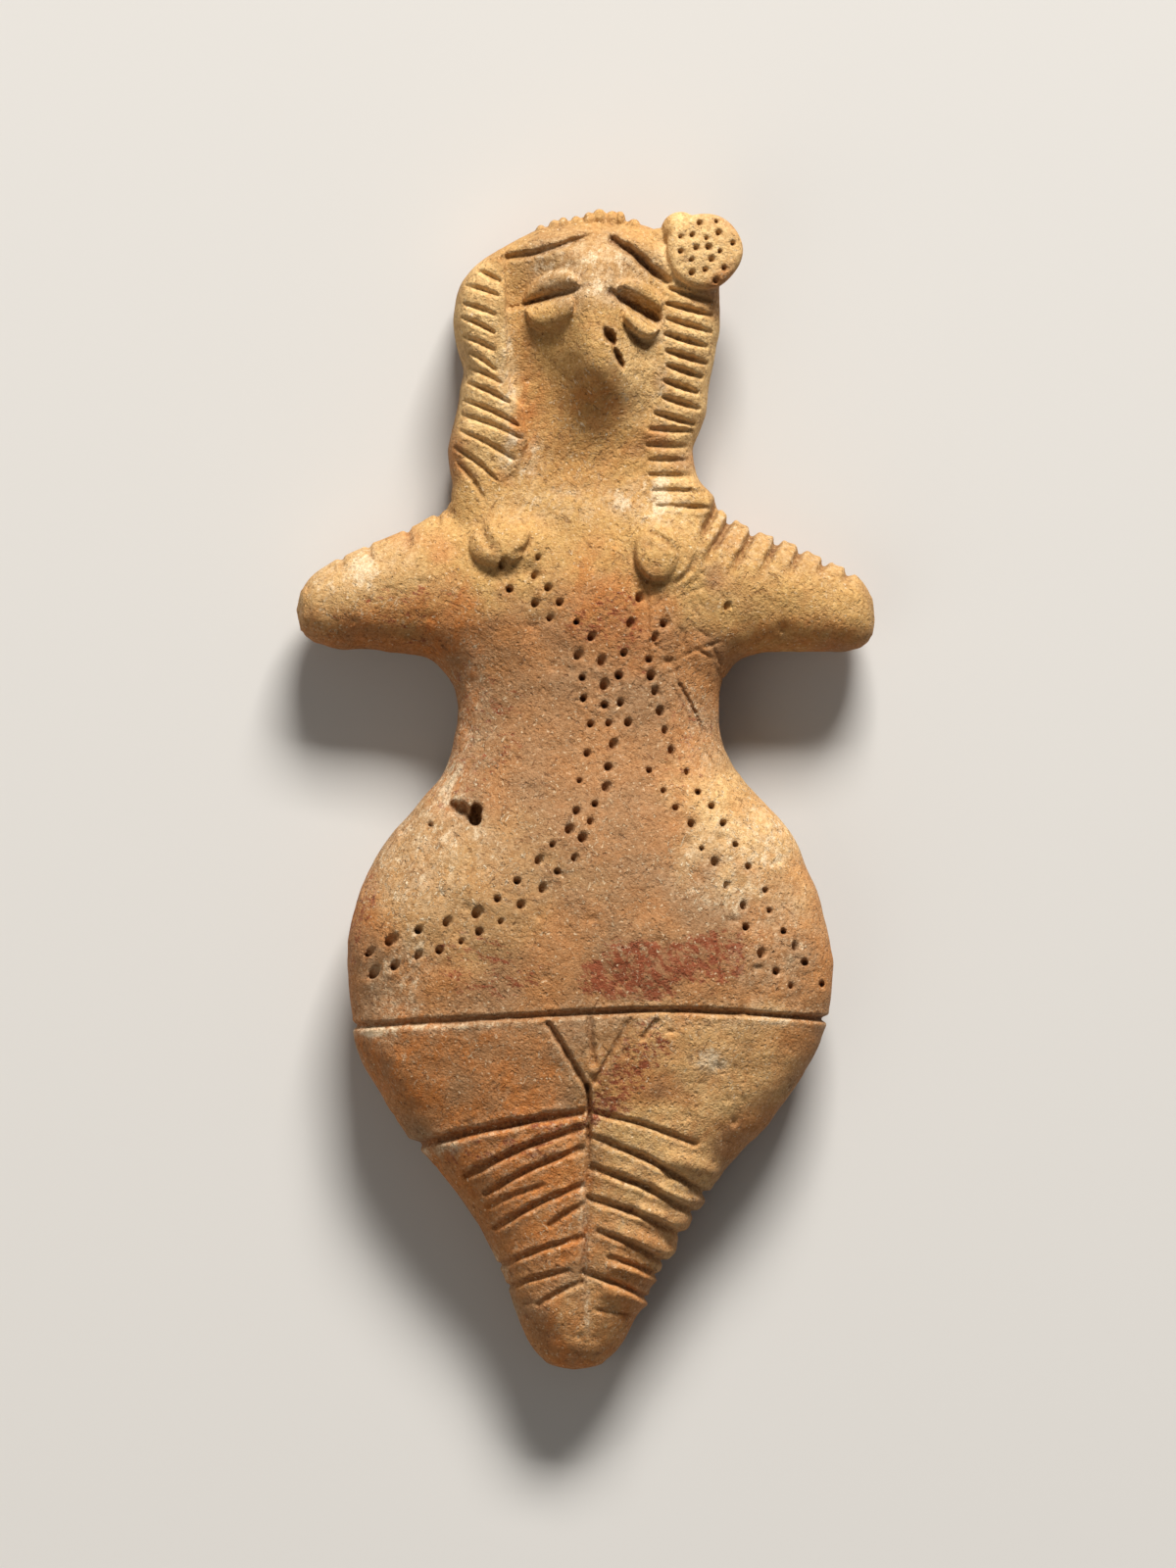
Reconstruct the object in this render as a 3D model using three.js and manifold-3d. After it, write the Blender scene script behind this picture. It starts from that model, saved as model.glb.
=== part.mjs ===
// A hand-modelled fired-clay woman lying on her flat back: a beak-nosed face, grooved hair falling to the
// shoulders, stub arms, broad hips with pricked bands, and legs that taper together to one rounded foot.
// Millimetres. X runs across the figure, Y towards the head, Z up from the ground through the front.
import * as THREE from "three";
import { mergeVertices } from "three/addons/utils/BufferGeometryUtils.js";
import Module from "manifold-3d";

const wasm = await Module();
wasm.setup();

// ---- Driving dimensions -------------------------------------------------------------------------------

const FOOT_Y = -72.5;
const CROWN_Y = 70.5;
const SHOULDER_Y = 35;
const NAPE_Y = 41;

// Each profile is a list of [distance along Y, value]; a smooth curve runs through it.
const BODY_HALF_WIDTH = [
  [FOOT_Y, 0.6], [-72, 2.4], [-71, 4.2], [-69, 5.8], [-65, 7.6], [-61, 9.2], [-57, 11.4], [-49.5, 16.3],
  [-41.5, 22.8], [-34, 27.9], [-28, 29.9], [-22, 30.4], [-14, 29], [-6, 25.5], [-0.5, 20.8],
  [3.5, 17.8], [9, 16.4], [14, 16.8], [20, 18.5], [28, 18.5], [33, 17], [SHOULDER_Y + 1, 14.5], [NAPE_Y, 9],
];
const BODY_SHIFT = [[FOOT_Y, -1.7], [-60, -1], [-45, -0.7], [-34, 0], [-22, 0.3], [0, 0.5], [12, 0], [36, 0]];
const BODY_FRONT = [
  [FOOT_Y, 6.2], [-72, 8.2], [-71, 9.8], [-68, 11.9], [-60, 14], [-50, 15.9], [-40, 17.5], [-28, 19.1],
  [-20, 19.6], [-10, 18.6], [0, 16], [8, 14.6], [16, 14.8], [26, 15], [33, 13.6], [SHOULDER_Y + 1, 12.9],
  [NAPE_Y, 11],
];
const BODY_BACK = [
  [FOOT_Y, 4.6], [-72, 3.4], [-71, 2.4], [-68, 1.4], [-60, 0.5], [-50, -0.4], [-40, -0.8], [-20, -1],
  [0, -0.4], [8, -0.2], [20, -0.7], [SHOULDER_Y + 1, -0.2], [NAPE_Y, 0.6],
];
// Squareness 2 is an ellipse; more is squarer. Sides count the facets round a section.
const BODY_SQUARENESS = 2.3;
const BODY_SIDES = 26;
// A section is widest at this share of its height.
const WIDEST_SHARE = 0.45;
const BODY_STATIONS = [
  -72, -71, -69, -66, -62, -57, -52, -47, -42, -37, -32, -27.5, -23, -18.5, -14, -9.5, -5.5, -2, 1, 4,
  8, 12.5, 17, 22, 27, 31, 34, 37.5,
];

// Arms are stubs drawn out sideways; [distance from the middle line, upper edge, lower edge] along Y.
const ARM_ROOT = 10;
const ARM_EDGES = [
  [ARM_ROOT, 35.5, 13], [15, 35.4, 14.6], [18.5, 34.6, 15.8], [22.5, 32.8, 16.9], [27, 30.7, 18],
  [31, 28.7, 18.4], [34.4, 26.4, 18.8], [35.6, 24.6, 20.2],
];
const ARM_TIP = 36.1;
const ARM_TIP_Y = 22.3;
const ARM_FRONT = [[ARM_ROOT, 14.4], [18, 13.8], [26, 12.8], [32, 11.8], [35.6, 9.2]];
const ARM_BACK = [[ARM_ROOT, -0.2], [18, 0.3], [26, 1], [32, 1.8], [35.6, 4.2]];
const ARM_SQUARENESS = 2.1;
const ARM_SIDES = 14;
const ARM_ROOT_POINT = [ARM_ROOT - 2, 24, 7];
const ARM_TIP_RISE = 6.6;

// Neck and face, a tapering slab that the beak and hair are built on.
const HEAD_HALF_WIDTH = [
  [32, 13], [40, 10.4], [46, 10], [54, 11.4], [62, 12], [67, 10.5], [69.5, 7.5], [CROWN_Y, 3],
];
const HEAD_FRONT = [
  [32, 12.6], [40, 11.8], [46, 12], [52, 13.4], [58, 14.6], [64, 14], [68, 11.6], [CROWN_Y, 8.4],
];
const HEAD_BACK = [[32, -0.2], [46, 0.5], [58, 0.2], [66, 1], [69.5, 2.8], [CROWN_Y, 5]];
const HEAD_START_Y = 32;
const HEAD_STATIONS = [33, 38, 43, 48, 53, 58, 63, 66.5, 68.8, 70];
const HEAD_SQUARENESS = 2.2;
const HEAD_SIDES = 18;

// The beak is a pinched ridge that grows from the forehead to a blunt tip, then falls back to the neck.
const BEAK_HALF_WIDTH = [[47, 1], [49, 2.8], [52, 3.8], [58, 4], [64, 4], [69, 3]];
const BEAK_CREST = [[47, 13.6], [49, 16], [52, 18.6], [55, 19.2], [60, 18.2], [64, 16.6], [69, 12.4]];
const BEAK_STATIONS = [47.4, 49, 50.8, 53, 56, 60, 64, 67.4];
const BEAK_SQUARENESS = 1.8;
const BEAK_SIDES = 10;
const BEAK_FOOT = 6;
const BEAK_SHIFT = 1.1;
const BEAK_CHIN = [46, 9];
const BEAK_BROW = [69.5, 9];

// Hair panels, one each side: [distance along Y, outer edge, inner edge] measured from the middle line.
const HAIR_LEFT = [
  [34.5, 17.6, 7.5], [37, 17, 8], [42, 17.5, 8], [46.5, 16.5, 8.5], [52, 15.4, 9.5], [58, 16.6, 9.6],
  [62.5, 16.3, 9.4], [66, 13.8, 8], [68.5, 9.6, 6],
];
const HAIR_RIGHT = [
  [34.5, 16.2, 7], [37, 15.6, 7], [40.5, 13.2, 7], [45, 13.8, 7.5], [52, 15.4, 8.5], [58, 16.3, 8.8],
  [62.5, 16.4, 8.6], [66, 14.5, 8], [68.5, 10, 6],
];
const HAIR_FRONT = [[34.5, 12.2], [40, 12], [48, 12.4], [58, 13.4], [64, 12.6], [68.5, 9.6]];
const HAIR_BACK = 1;
const HAIR_START_Y = 33;
const HAIR_SQUARENESS = 3;
const HAIR_SIDES = 12;
const HAIR_GROOVES = {
  first: 64, last: 37.5, leftCount: 12, rightCount: 12, drop: 2.2, lowDrop: 5, rightDrop: 1,
};
const HAIR_GROOVE_SIZE = { half: 0.5, deep: 0.8, past: 1.5, inset: 0.8, step: 4 };

// Small lumps along the top of the head, on a line that bows down either side of its peak.
const CREST = { beads: 8, from: -5.6, to: 7.7, peakX: 2, peakY: 70.9, bow: 0.035, height: 9 };
const CREST_BEAD = { radii: [1.3, 1.9, 2], around: 6, rows: 4 };
// A thick disc set in the hair, with rings of holes pricked in its face.
const ROSETTE = { x: 14.6, y: 67.4, radius: 4.7, low: 6, high: 13.4, dome: 0.3, around: 16 };
const ROSETTE_EDGE = { across: 0.9, under: 1.6, over: 1.4 };
const ROSETTE_HOLES = { rings: [1, 5, 9], ringStep: 1.7, twist: 0.4, radius: 0.5, deep: 1.2, sides: 5 };

// Clay pellets pressed on: [x, y, half length, half width, turn in degrees, height above the skin].
const PELLETS = {
  upperLidLeft: [-3.8, 63.7, 3, 1.3, 16, 0.8],
  lowerLidLeft: [-5, 59.1, 2.7, 2, 14, 1],
  upperLidRight: [6.6, 61.8, 2.6, 1.1, -34, 0.8],
  lowerLidRight: [6.9, 57.6, 2, 1.6, -30, 1],
  breastLeft: [-10.6, 30.8, 4.2, 3.2, 12, 2.6],
  breastRight: [8.7, 29.4, 3, 3.7, 0, 2.6],
  apexBead: [0.7, -34.7, 0.8, 0.8, 0, 0.3],
};
const PELLET = { sink: 0.6, around: 10, rows: 6 };

// Cuts drawn with a point in the soft clay: lists of [x, y], with a half width and a depth.
const WAIST_GROOVE = [[-31, -29.6], [-20, -28.8], [-8, -28], [4, -27.4], [18, -27.6], [32, -28.6]];
const LEG_DIVISION = [[0.1, -36.5], [0.2, -45], [-0.2, -56], [-0.9, -66.5]];
const TRIANGLE_LEFT = [[-4.7, -29], [-1, -35.4], [0.2, -37.5]];
const TRIANGLE_RIGHT = [[5.5, -28.4], [1, -36.3]];
const TRIANGLE_MIDDLE = [[0.4, -28.3], [0.8, -33.6]];
const EYE_SLIT_LEFT = [[-9.4, 60], [-5, 61.5], [-1.2, 62.6]];
const EYE_SLIT_RIGHT = [[3.2, 62], [6, 60.6], [8.6, 58.6]];
const BROW_LEFT = [[-9.6, 66.4], [-5, 67.6], [0.4, 68.6]];
const BROW_RIGHT = [[3.4, 67.8], [6.8, 66.2], [9.6, 63.8]];
const BREAST_CUT_LEFT = [[-13.2, 33], [-12.2, 31.4], [-11.2, 29.8]];
const BREAST_CUT_RIGHT = [[7.6, 32.4], [9.4, 31.2], [11.2, 29.8]];
const WIDE_CUT = { half: 0.7, deep: 1.1 };
const FINE_CUT = { half: 0.45, deep: 0.8 };
// Cutters stand this far out of the skin, and follow it in steps this long.
const CUT_LIFT = 1.2;
const CUT_STEP = 3;
const LONG_STEP = 5;
const EDGE_RISE = 8;

// Creases across the legs: [side, start along Y, start from the division, reach outward, fall along Y].
const LEG_CREASES = [
  [-1, -40, 0, 20.4, 4.4], [-1, -42, 0, 17.6, 6.4], [-1, -44.6, 0.4, 11.4, 5.6], [-1, -49.2, 0.4, 10.6, 5.4],
  [-1, -55.8, 0.7, 10.2, 3.8], [-1, -60.2, 2, 7.4, 2.4],
  [1, -40, 0.7, 17.6, 4.4], [1, -43, 0.7, 15.6, 8.4], [1, -47, 0.9, 13, 6], [1, -51, 0.4, 12.4, 5],
  [1, -54.8, 0.7, 9.4, 3.6], [1, -60.1, -0.3, 8, 3],
];
// Halfway out, a crease has already fallen by this share, so that it bows.
const CREASE_BEND = 0.55;

// Short strokes along the upper edge of each arm: [distance from the middle line, upper end along Y].
const ARM_STROKES_LEFT = [[18.6, 34.6], [22.6, 32.8], [27.4, 30.4], [30.8, 28.8]];
const ARM_STROKES_RIGHT = [
  [15.9, 35], [18.2, 34.6], [21, 33.4], [24.2, 32], [27.2, 30.6], [30.2, 29.2], [32.8, 27.8],
];
const STROKE_LEANS = { left: 0.8, right: -2.6 };
const STROKE = { above: 0.8, length: 4, step: 2.5 };

// Double rows of pricked holes crossing the body, each following a line of [x, y] points.
const BAND_LEFT = [
  [-8.8, 27.6], [-1.1, 19.2], [1.2, 14], [1.6, 6.7], [0.1, -0.9], [-5.4, -10.1], [-13.8, -16.6],
  [-28.5, -22.5],
];
const BAND_RIGHT = [
  [8.9, 23.3], [6.2, 15.5], [8.4, 4.8], [15.1, -5], [21.2, -13.9], [23.1, -19.3], [28.3, -25.1],
];
const HOLE = { pitch: 2.8, rowGap: 3, radius: 0.6, deep: 1.4, sides: 4 };
const HOLE_LIFT = 1;

// A kidney-shaped hollow on the left hip: three overlapping holes, as [x, y, radius].
const NAVEL = [[-16, -1.9, 1.5], [-14.6, -2.7, 1.3], [-13.5, -3.3, 1.4]];
const NAVEL_SIZE = { deep: 3, sides: 7 };

// The back is pressed flat where this block of ground begins.
const GROUND = { width: 100, length: 200, height: 60 };
const CLAY_COLOUR = 0xc8965f;
const CLAY_ROUGHNESS = 0.9;

// ---- Building tools -----------------------------------------------------------------------------------

// A smooth curve through [position, value] pairs, as a function of position.
function profile(pairs) {
  const curve = new THREE.CubicInterpolant(pairs.map((p) => p[0]), pairs.map((p) => p[1]), 1);
  return (at) => curve.evaluate(at)[0];
}

// Points round a rounded slab section, as [across, up] pairs.
function section(mid, half, low, high, squareness, sides) {
  const middle = low + (high - low) * WIDEST_SHARE;
  const points = [];
  for (let s = 0; s < sides; s++) {
    const turn = (2 * Math.PI * s) / sides;
    const c = Math.cos(turn);
    const n = Math.sin(turn);
    const across = half * Math.sign(c) * Math.abs(c) ** (2 / squareness);
    const rise = n > 0 ? high - middle : middle - low;
    points.push([mid + across, middle + rise * Math.sign(n) * Math.abs(n) ** (2 / squareness)]);
  }
  return points;
}

// A closed skin over a row of rings with equal point counts, ending in a point at each end.
function skin(rings, first, last) {
  const around = rings[0].length;
  const points = [first, ...rings.flat(), last];
  const faces = [];
  for (let s = 0; s < around; s++) {
    const next = (s + 1) % around;
    faces.push(0, 1 + s, 1 + next);
    for (let r = 0; r + 1 < rings.length; r++) {
      const a = 1 + r * around;
      const b = a + around;
      faces.push(a + s, b + s, a + next, a + next, b + s, b + next);
    }
    const end = 1 + (rings.length - 1) * around;
    faces.push(end + s, points.length - 1, end + next);
  }
  const geometry = new THREE.BufferGeometry().setFromPoints(points);
  geometry.setIndex(faces);
  return geometry;
}

// Corners nearer than this are one corner.
const MERGE_DISTANCE = 1e-4;

// A three.js geometry as a closed solid.
function solid(geometry) {
  const bare = new THREE.BufferGeometry();
  bare.setAttribute("position", geometry.getAttribute("position"));
  bare.setIndex(geometry.index);
  const merged = mergeVertices(bare, MERGE_DISTANCE);
  const corners = new Uint32Array(merged.index.array);
  const made = new wasm.Manifold(
    new wasm.Mesh({ numProp: 3, vertProperties: merged.attributes.position.array, triVerts: corners }),
  );
  if (made.volume() > 0) return made;
  for (let i = 0; i < corners.length; i += 3) {
    [corners[i + 1], corners[i + 2]] = [corners[i + 2], corners[i + 1]];
  }
  return new wasm.Manifold(
    new wasm.Mesh({ numProp: 3, vertProperties: merged.attributes.position.array, triVerts: corners }),
  );
}

// A closed solid back as a three.js geometry.
function geometryOf(made) {
  const mesh = made.getMesh();
  const geometry = new THREE.BufferGeometry();
  geometry.setAttribute("position", new THREE.Float32BufferAttribute(mesh.vertProperties, 3));
  geometry.setIndex(new THREE.BufferAttribute(mesh.triVerts, 1));
  return geometry;
}

// A body laid along Y whose slab sections follow profiles of the distance along Y.
function alongY(stations, tipFirst, tipLast, mid, half, back, front, squareness, sides) {
  const rings = stations.map((y) =>
    section(mid(y), half(y), back(y), front(y), squareness, sides).map(
      ([x, z]) => new THREE.Vector3(x, y, z),
    ),
  );
  const tip = (y) => new THREE.Vector3(mid(y), y, (back(y) + front(y)) / 2);
  return skin(rings, tip(tipFirst), tip(tipLast));
}

function spread(from, to, count) {
  return Array.from({ length: count }, (_, i) => from + ((to - from) * i) / (count - 1));
}

// ---- The clay blank -----------------------------------------------------------------------------------

function torso() {
  return alongY(
    BODY_STATIONS, FOOT_Y, NAPE_Y, profile(BODY_SHIFT), profile(BODY_HALF_WIDTH),
    profile(BODY_BACK), profile(BODY_FRONT), BODY_SQUARENESS, BODY_SIDES,
  );
}

function arm(side) {
  const upper = profile(ARM_EDGES.map(([x, u]) => [x, u]));
  const lower = profile(ARM_EDGES.map(([x, , l]) => [x, l]));
  const front = profile(ARM_FRONT);
  const back = profile(ARM_BACK);
  const rings = ARM_EDGES.map(([x]) => {
    const mid = (upper(x) + lower(x)) / 2;
    const half = (upper(x) - lower(x)) / 2;
    return section(mid, half, back(x), front(x), ARM_SQUARENESS, ARM_SIDES).map(
      ([y, z]) => new THREE.Vector3(side * x, y, z),
    );
  });
  const [rootOut, rootY, rootZ] = ARM_ROOT_POINT;
  const root = new THREE.Vector3(side * rootOut, rootY, rootZ);
  const tip = new THREE.Vector3(side * ARM_TIP, ARM_TIP_Y, ARM_TIP_RISE);
  return skin(rings, root, tip);
}

function head() {
  return alongY(
    HEAD_STATIONS, HEAD_START_Y, CROWN_Y, () => 0, profile(HEAD_HALF_WIDTH),
    profile(HEAD_BACK), profile(HEAD_FRONT), HEAD_SQUARENESS, HEAD_SIDES,
  );
}

function beak() {
  const half = profile(BEAK_HALF_WIDTH);
  const crest = profile(BEAK_CREST);
  const rings = BEAK_STATIONS.map((y) =>
    section(BEAK_SHIFT, half(y), BEAK_FOOT, crest(y), BEAK_SQUARENESS, BEAK_SIDES).map(
      ([x, z]) => new THREE.Vector3(x, y, z),
    ),
  );
  const end = ([y, z]) => new THREE.Vector3(BEAK_SHIFT, y, z);
  return skin(rings, end(BEAK_CHIN), end(BEAK_BROW));
}

function hair(side, edges) {
  const outer = profile(edges.map(([y, o]) => [y, o]));
  const inner = profile(edges.map(([y, , i]) => [y, i]));
  const mid = (y) => (side * (outer(y) + inner(y))) / 2;
  const half = (y) => (outer(y) - inner(y)) / 2;
  const last = edges.length - 1;
  return alongY(
    edges.slice(0, -1).map(([y]) => y), HAIR_START_Y, edges[last][0], mid, half, () => HAIR_BACK,
    profile(HAIR_FRONT), HAIR_SQUARENESS, HAIR_SIDES,
  );
}

// A ball stretched to three radii and turned about the vertical, in degrees.
function bead(x, y, z, [rx, ry, rz], turn, around, rows) {
  const ball = new THREE.SphereGeometry(1, around, rows);
  ball.rotateX(Math.PI / 2);
  ball.scale(rx, ry, rz);
  ball.rotateZ(THREE.MathUtils.degToRad(turn));
  ball.translate(x, y, z);
  return ball;
}

function crest() {
  const rise = (x) => CREST.peakY - CREST.bow * (x - CREST.peakX) ** 2;
  return spread(CREST.from, CREST.to, CREST.beads).map((x) =>
    bead(x, rise(x), CREST.height, CREST_BEAD.radii, 0, CREST_BEAD.around, CREST_BEAD.rows),
  );
}

function rosette() {
  const { radius, low, high, dome } = ROSETTE;
  const shoulder = radius - ROSETTE_EDGE.across;
  const outline = [
    [0, low], [shoulder, low], [radius, low + ROSETTE_EDGE.under], [radius, high - ROSETTE_EDGE.over],
    [shoulder, high], [0, high + dome],
  ];
  const disc = new THREE.LatheGeometry(outline.map(([r, h]) => new THREE.Vector2(r, h)), ROSETTE.around);
  disc.rotateX(Math.PI / 2);
  disc.translate(ROSETTE.x, ROSETTE.y, 0);
  return disc;
}

const core = wasm.Manifold.union([
  solid(torso()), solid(arm(-1)), solid(arm(1)), solid(head()), solid(beak()),
  solid(hair(-1, HAIR_LEFT)), solid(hair(1, HAIR_RIGHT)), solid(rosette()), ...crest().map(solid),
]);

// Height of the front skin of a solid above the ground at a point of the plan.
function heightOver(made) {
  const mesh = new THREE.Mesh(geometryOf(made), new THREE.MeshBasicMaterial({ side: THREE.DoubleSide }));
  const ray = new THREE.Raycaster();
  const down = new THREE.Vector3(0, 0, -1);
  return (x, y) => {
    ray.set(new THREE.Vector3(x, y, GROUND.height), down);
    const hits = ray.intersectObject(mesh);
    return hits.length ? hits[0].point.z : null;
  };
}

const coreHeight = heightOver(core);

function pellet([x, y, length, width, turn, proud]) {
  const z = coreHeight(x, y);
  const radii = [length, width, proud + PELLET.sink];
  return solid(bead(x, y, z - PELLET.sink, radii, turn, PELLET.around, PELLET.rows));
}

const ground = new THREE.BoxGeometry(GROUND.width, GROUND.length, GROUND.height);
ground.translate(0, 0, GROUND.height / 2);
const blank = core.add(wasm.Manifold.union(Object.values(PELLETS).map(pellet))).intersect(solid(ground));
const skinHeight = heightOver(blank);

// ---- Cuts in the surface ------------------------------------------------------------------------------

function pathThrough(line) {
  const points = line.map(([x, y]) => new THREE.Vector3(x, y, 0));
  return new THREE.CatmullRomCurve3(points, false, "centripetal");
}

// A three-sided cutter that follows a line of plan points along the skin, point downwards.
function groove(line, { half, deep }, step = CUT_STEP) {
  const path = pathThrough(line);
  const count = Math.max(2, Math.round(path.getLength() / step));
  const wide = half * (1 + CUT_LIFT / deep);
  const rings = [];
  for (let i = 0; i <= count; i++) {
    const at = path.getPointAt(i / count);
    const ahead = path.getTangentAt(i / count);
    const side = new THREE.Vector3(-ahead.y, ahead.x, 0);
    const z = skinHeight(at.x, at.y) ?? EDGE_RISE;
    rings.push([
      new THREE.Vector3(at.x, at.y, z - deep),
      at.clone().addScaledVector(side, wide).setZ(z + CUT_LIFT),
      at.clone().addScaledVector(side, -wide).setZ(z + CUT_LIFT),
    ]);
  }
  const middle = (ring) => ring[0].clone().add(ring[1]).add(ring[2]).divideScalar(3);
  return solid(skin(rings, middle(rings[0]), middle(rings[count])));
}

function hole(x, y, radius, deep, sides) {
  const z = skinHeight(x, y);
  const cone = new THREE.ConeGeometry(radius * (1 + HOLE_LIFT / deep), deep + HOLE_LIFT, sides);
  cone.rotateX(-Math.PI / 2);
  cone.translate(x, y, z + (HOLE_LIFT - deep) / 2);
  return solid(cone);
}

// Two staggered rows of holes either side of a line.
function pricked(line) {
  const path = pathThrough(line);
  const count = Math.round(path.getLength() / HOLE.pitch);
  const cuts = [];
  for (let i = 0; i < 2 * count; i++) {
    const along = (i + 0.5) / (2 * count);
    const at = path.getPointAt(along);
    const ahead = path.getTangentAt(along);
    const away = ((i % 2) - 0.5) * HOLE.rowGap;
    cuts.push(hole(at.x - ahead.y * away, at.y + ahead.x * away, HOLE.radius, HOLE.deep, HOLE.sides));
  }
  return cuts;
}

function rosetteHoles() {
  const { rings, ringStep, twist, radius, deep, sides } = ROSETTE_HOLES;
  const cuts = [];
  rings.forEach((count, ring) => {
    const out = ring * ringStep;
    for (let i = 0; i < count; i++) {
      const turn = (2 * Math.PI * i) / count + ring * twist;
      const x = ROSETTE.x + out * Math.cos(turn);
      const y = ROSETTE.y + out * Math.sin(turn);
      cuts.push(hole(x, y, radius, deep, sides));
    }
  });
  return cuts;
}

// Slanting cuts down a hair panel, steeper towards the bottom.
function hairGrooves(side, edges, count) {
  const outer = profile(edges.map(([y, o]) => [y, o]));
  const inner = profile(edges.map(([y, , i]) => [y, i]));
  const { drop, lowDrop, rightDrop } = HAIR_GROOVES;
  return spread(HAIR_GROOVES.first, HAIR_GROOVES.last, count).map((y, i) => {
    const fall = side < 0 ? THREE.MathUtils.lerp(drop, lowDrop, i / count) : rightDrop;
    const out = side * (outer(y) + HAIR_GROOVE_SIZE.past);
    const inn = side * (inner(y) + HAIR_GROOVE_SIZE.inset);
    const line = [[inn, y - fall / 2], [(inn + out) / 2, y], [out, y + fall / 2]];
    return groove(line, HAIR_GROOVE_SIZE, HAIR_GROOVE_SIZE.step);
  });
}

function legCrease([side, y, start, reach, fall]) {
  const line = [[side * start, y], [(side * reach) / 2, y - fall * CREASE_BEND], [side * reach, y - fall]];
  return groove(line, FINE_CUT, LONG_STEP);
}

function armStroke(side, [x, y]) {
  const lean = side < 0 ? STROKE_LEANS.left : STROKE_LEANS.right;
  const line = [[side * x, y + STROKE.above], [side * x + lean, y - STROKE.length]];
  return groove(line, FINE_CUT, STROKE.step);
}

function navel() {
  return NAVEL.map(([x, y, radius]) => hole(x, y, radius, NAVEL_SIZE.deep, NAVEL_SIZE.sides));
}

const FINE_LINES = [
  TRIANGLE_LEFT, TRIANGLE_RIGHT, TRIANGLE_MIDDLE, EYE_SLIT_LEFT, EYE_SLIT_RIGHT, BROW_LEFT, BROW_RIGHT,
  BREAST_CUT_LEFT, BREAST_CUT_RIGHT,
];
const cuts = [
  groove(WAIST_GROOVE, WIDE_CUT, LONG_STEP),
  groove(LEG_DIVISION, WIDE_CUT),
  ...FINE_LINES.map((line) => groove(line, FINE_CUT)),
  ...LEG_CREASES.map(legCrease),
  ...ARM_STROKES_LEFT.map((stroke) => armStroke(-1, stroke)),
  ...ARM_STROKES_RIGHT.map((stroke) => armStroke(1, stroke)),
  ...hairGrooves(-1, HAIR_LEFT, HAIR_GROOVES.leftCount),
  ...hairGrooves(1, HAIR_RIGHT, HAIR_GROOVES.rightCount),
  ...pricked(BAND_LEFT),
  ...pricked(BAND_RIGHT),
  ...rosetteHoles(),
  ...navel(),
];

// The cutting can leave loose crumbs of clay in a crossing of two cuts; the figure is the largest body.
const pieces = blank.subtract(wasm.Manifold.union(cuts)).decompose();
const carved = pieces.reduce((best, one) => (one.volume() > best.volume() ? one : best));

// ---- The finished part --------------------------------------------------------------------------------

const shape = geometryOf(carved);
shape.computeBoundingBox();
const centre = shape.boundingBox.getCenter(new THREE.Vector3());
shape.translate(-centre.x, -centre.y, -shape.boundingBox.min.z);

const clay = new THREE.MeshStandardMaterial({ color: CLAY_COLOUR, roughness: CLAY_ROUGHNESS });
const figurine = new THREE.Mesh(shape, clay);
figurine.name = "figurine";

const group = new THREE.Group();
group.name = "terracotta_figurine";
group.add(figurine);

export default group;
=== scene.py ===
# Hand-modelled fired-clay figurine lying on its back, sculpted as a field of solid clay that is turned
# into one skin. Lengths inside the sculpture are millimetres on a figure 145 mm long; UNIT turns them into
# metres of the frame. X runs across the figure, Y towards the head, Z up through the front.
import math

import bpy
import numpy as np
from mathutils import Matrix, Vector


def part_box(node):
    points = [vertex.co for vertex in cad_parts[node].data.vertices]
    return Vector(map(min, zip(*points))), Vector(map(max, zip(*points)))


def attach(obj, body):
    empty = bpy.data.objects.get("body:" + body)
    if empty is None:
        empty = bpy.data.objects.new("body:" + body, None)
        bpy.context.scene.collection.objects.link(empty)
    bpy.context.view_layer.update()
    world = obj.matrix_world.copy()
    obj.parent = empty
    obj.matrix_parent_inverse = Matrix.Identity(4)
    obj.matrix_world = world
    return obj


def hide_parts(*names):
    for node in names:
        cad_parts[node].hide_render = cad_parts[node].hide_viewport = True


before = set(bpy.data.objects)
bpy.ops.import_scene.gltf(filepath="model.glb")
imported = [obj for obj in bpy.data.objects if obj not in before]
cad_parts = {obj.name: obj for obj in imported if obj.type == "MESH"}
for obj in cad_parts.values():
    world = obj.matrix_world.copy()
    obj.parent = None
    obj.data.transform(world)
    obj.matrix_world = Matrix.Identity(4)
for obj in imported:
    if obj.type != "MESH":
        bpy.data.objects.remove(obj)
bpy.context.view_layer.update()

MM = 0.001
DESIGN_LENGTH = 145.0
low_corner, high_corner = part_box("figurine")
LENGTH = high_corner[1] - low_corner[1]
UNIT = LENGTH / DESIGN_LENGTH
SEED = 20260
# Distance between samples of the clay field, and the most triangles that the skin may have.
STEP = 0.25
FACE_LIMIT = 194000

# ---- Small numeric tools ----


def curve(pairs):
    """A smooth function through (position, value) pairs, flat beyond its ends."""
    at = np.array([p[0] for p in pairs], float)
    value = np.array([p[1] for p in pairs], float)
    slope = np.gradient(value, at)

    def evaluate(t):
        t = np.clip(np.asarray(t, float), at[0], at[-1])
        i = np.clip(np.searchsorted(at, t, side="right") - 1, 0, len(at) - 2)
        width = at[i + 1] - at[i]
        s = (t - at[i]) / width
        a = (1 + 2 * s) * (1 - s) ** 2
        b = s * (1 - s) ** 2 * width
        c = s * s * (3 - 2 * s)
        d = s * s * (s - 1) * width
        return (a * value[i] + b * slope[i] + c * value[i + 1] + d * slope[i + 1]).astype(np.float32)

    return evaluate


def smoothstep(low, high, x):
    t = np.clip((x - low) / (high - low), 0, 1)
    return t * t * (3 - 2 * t)


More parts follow.
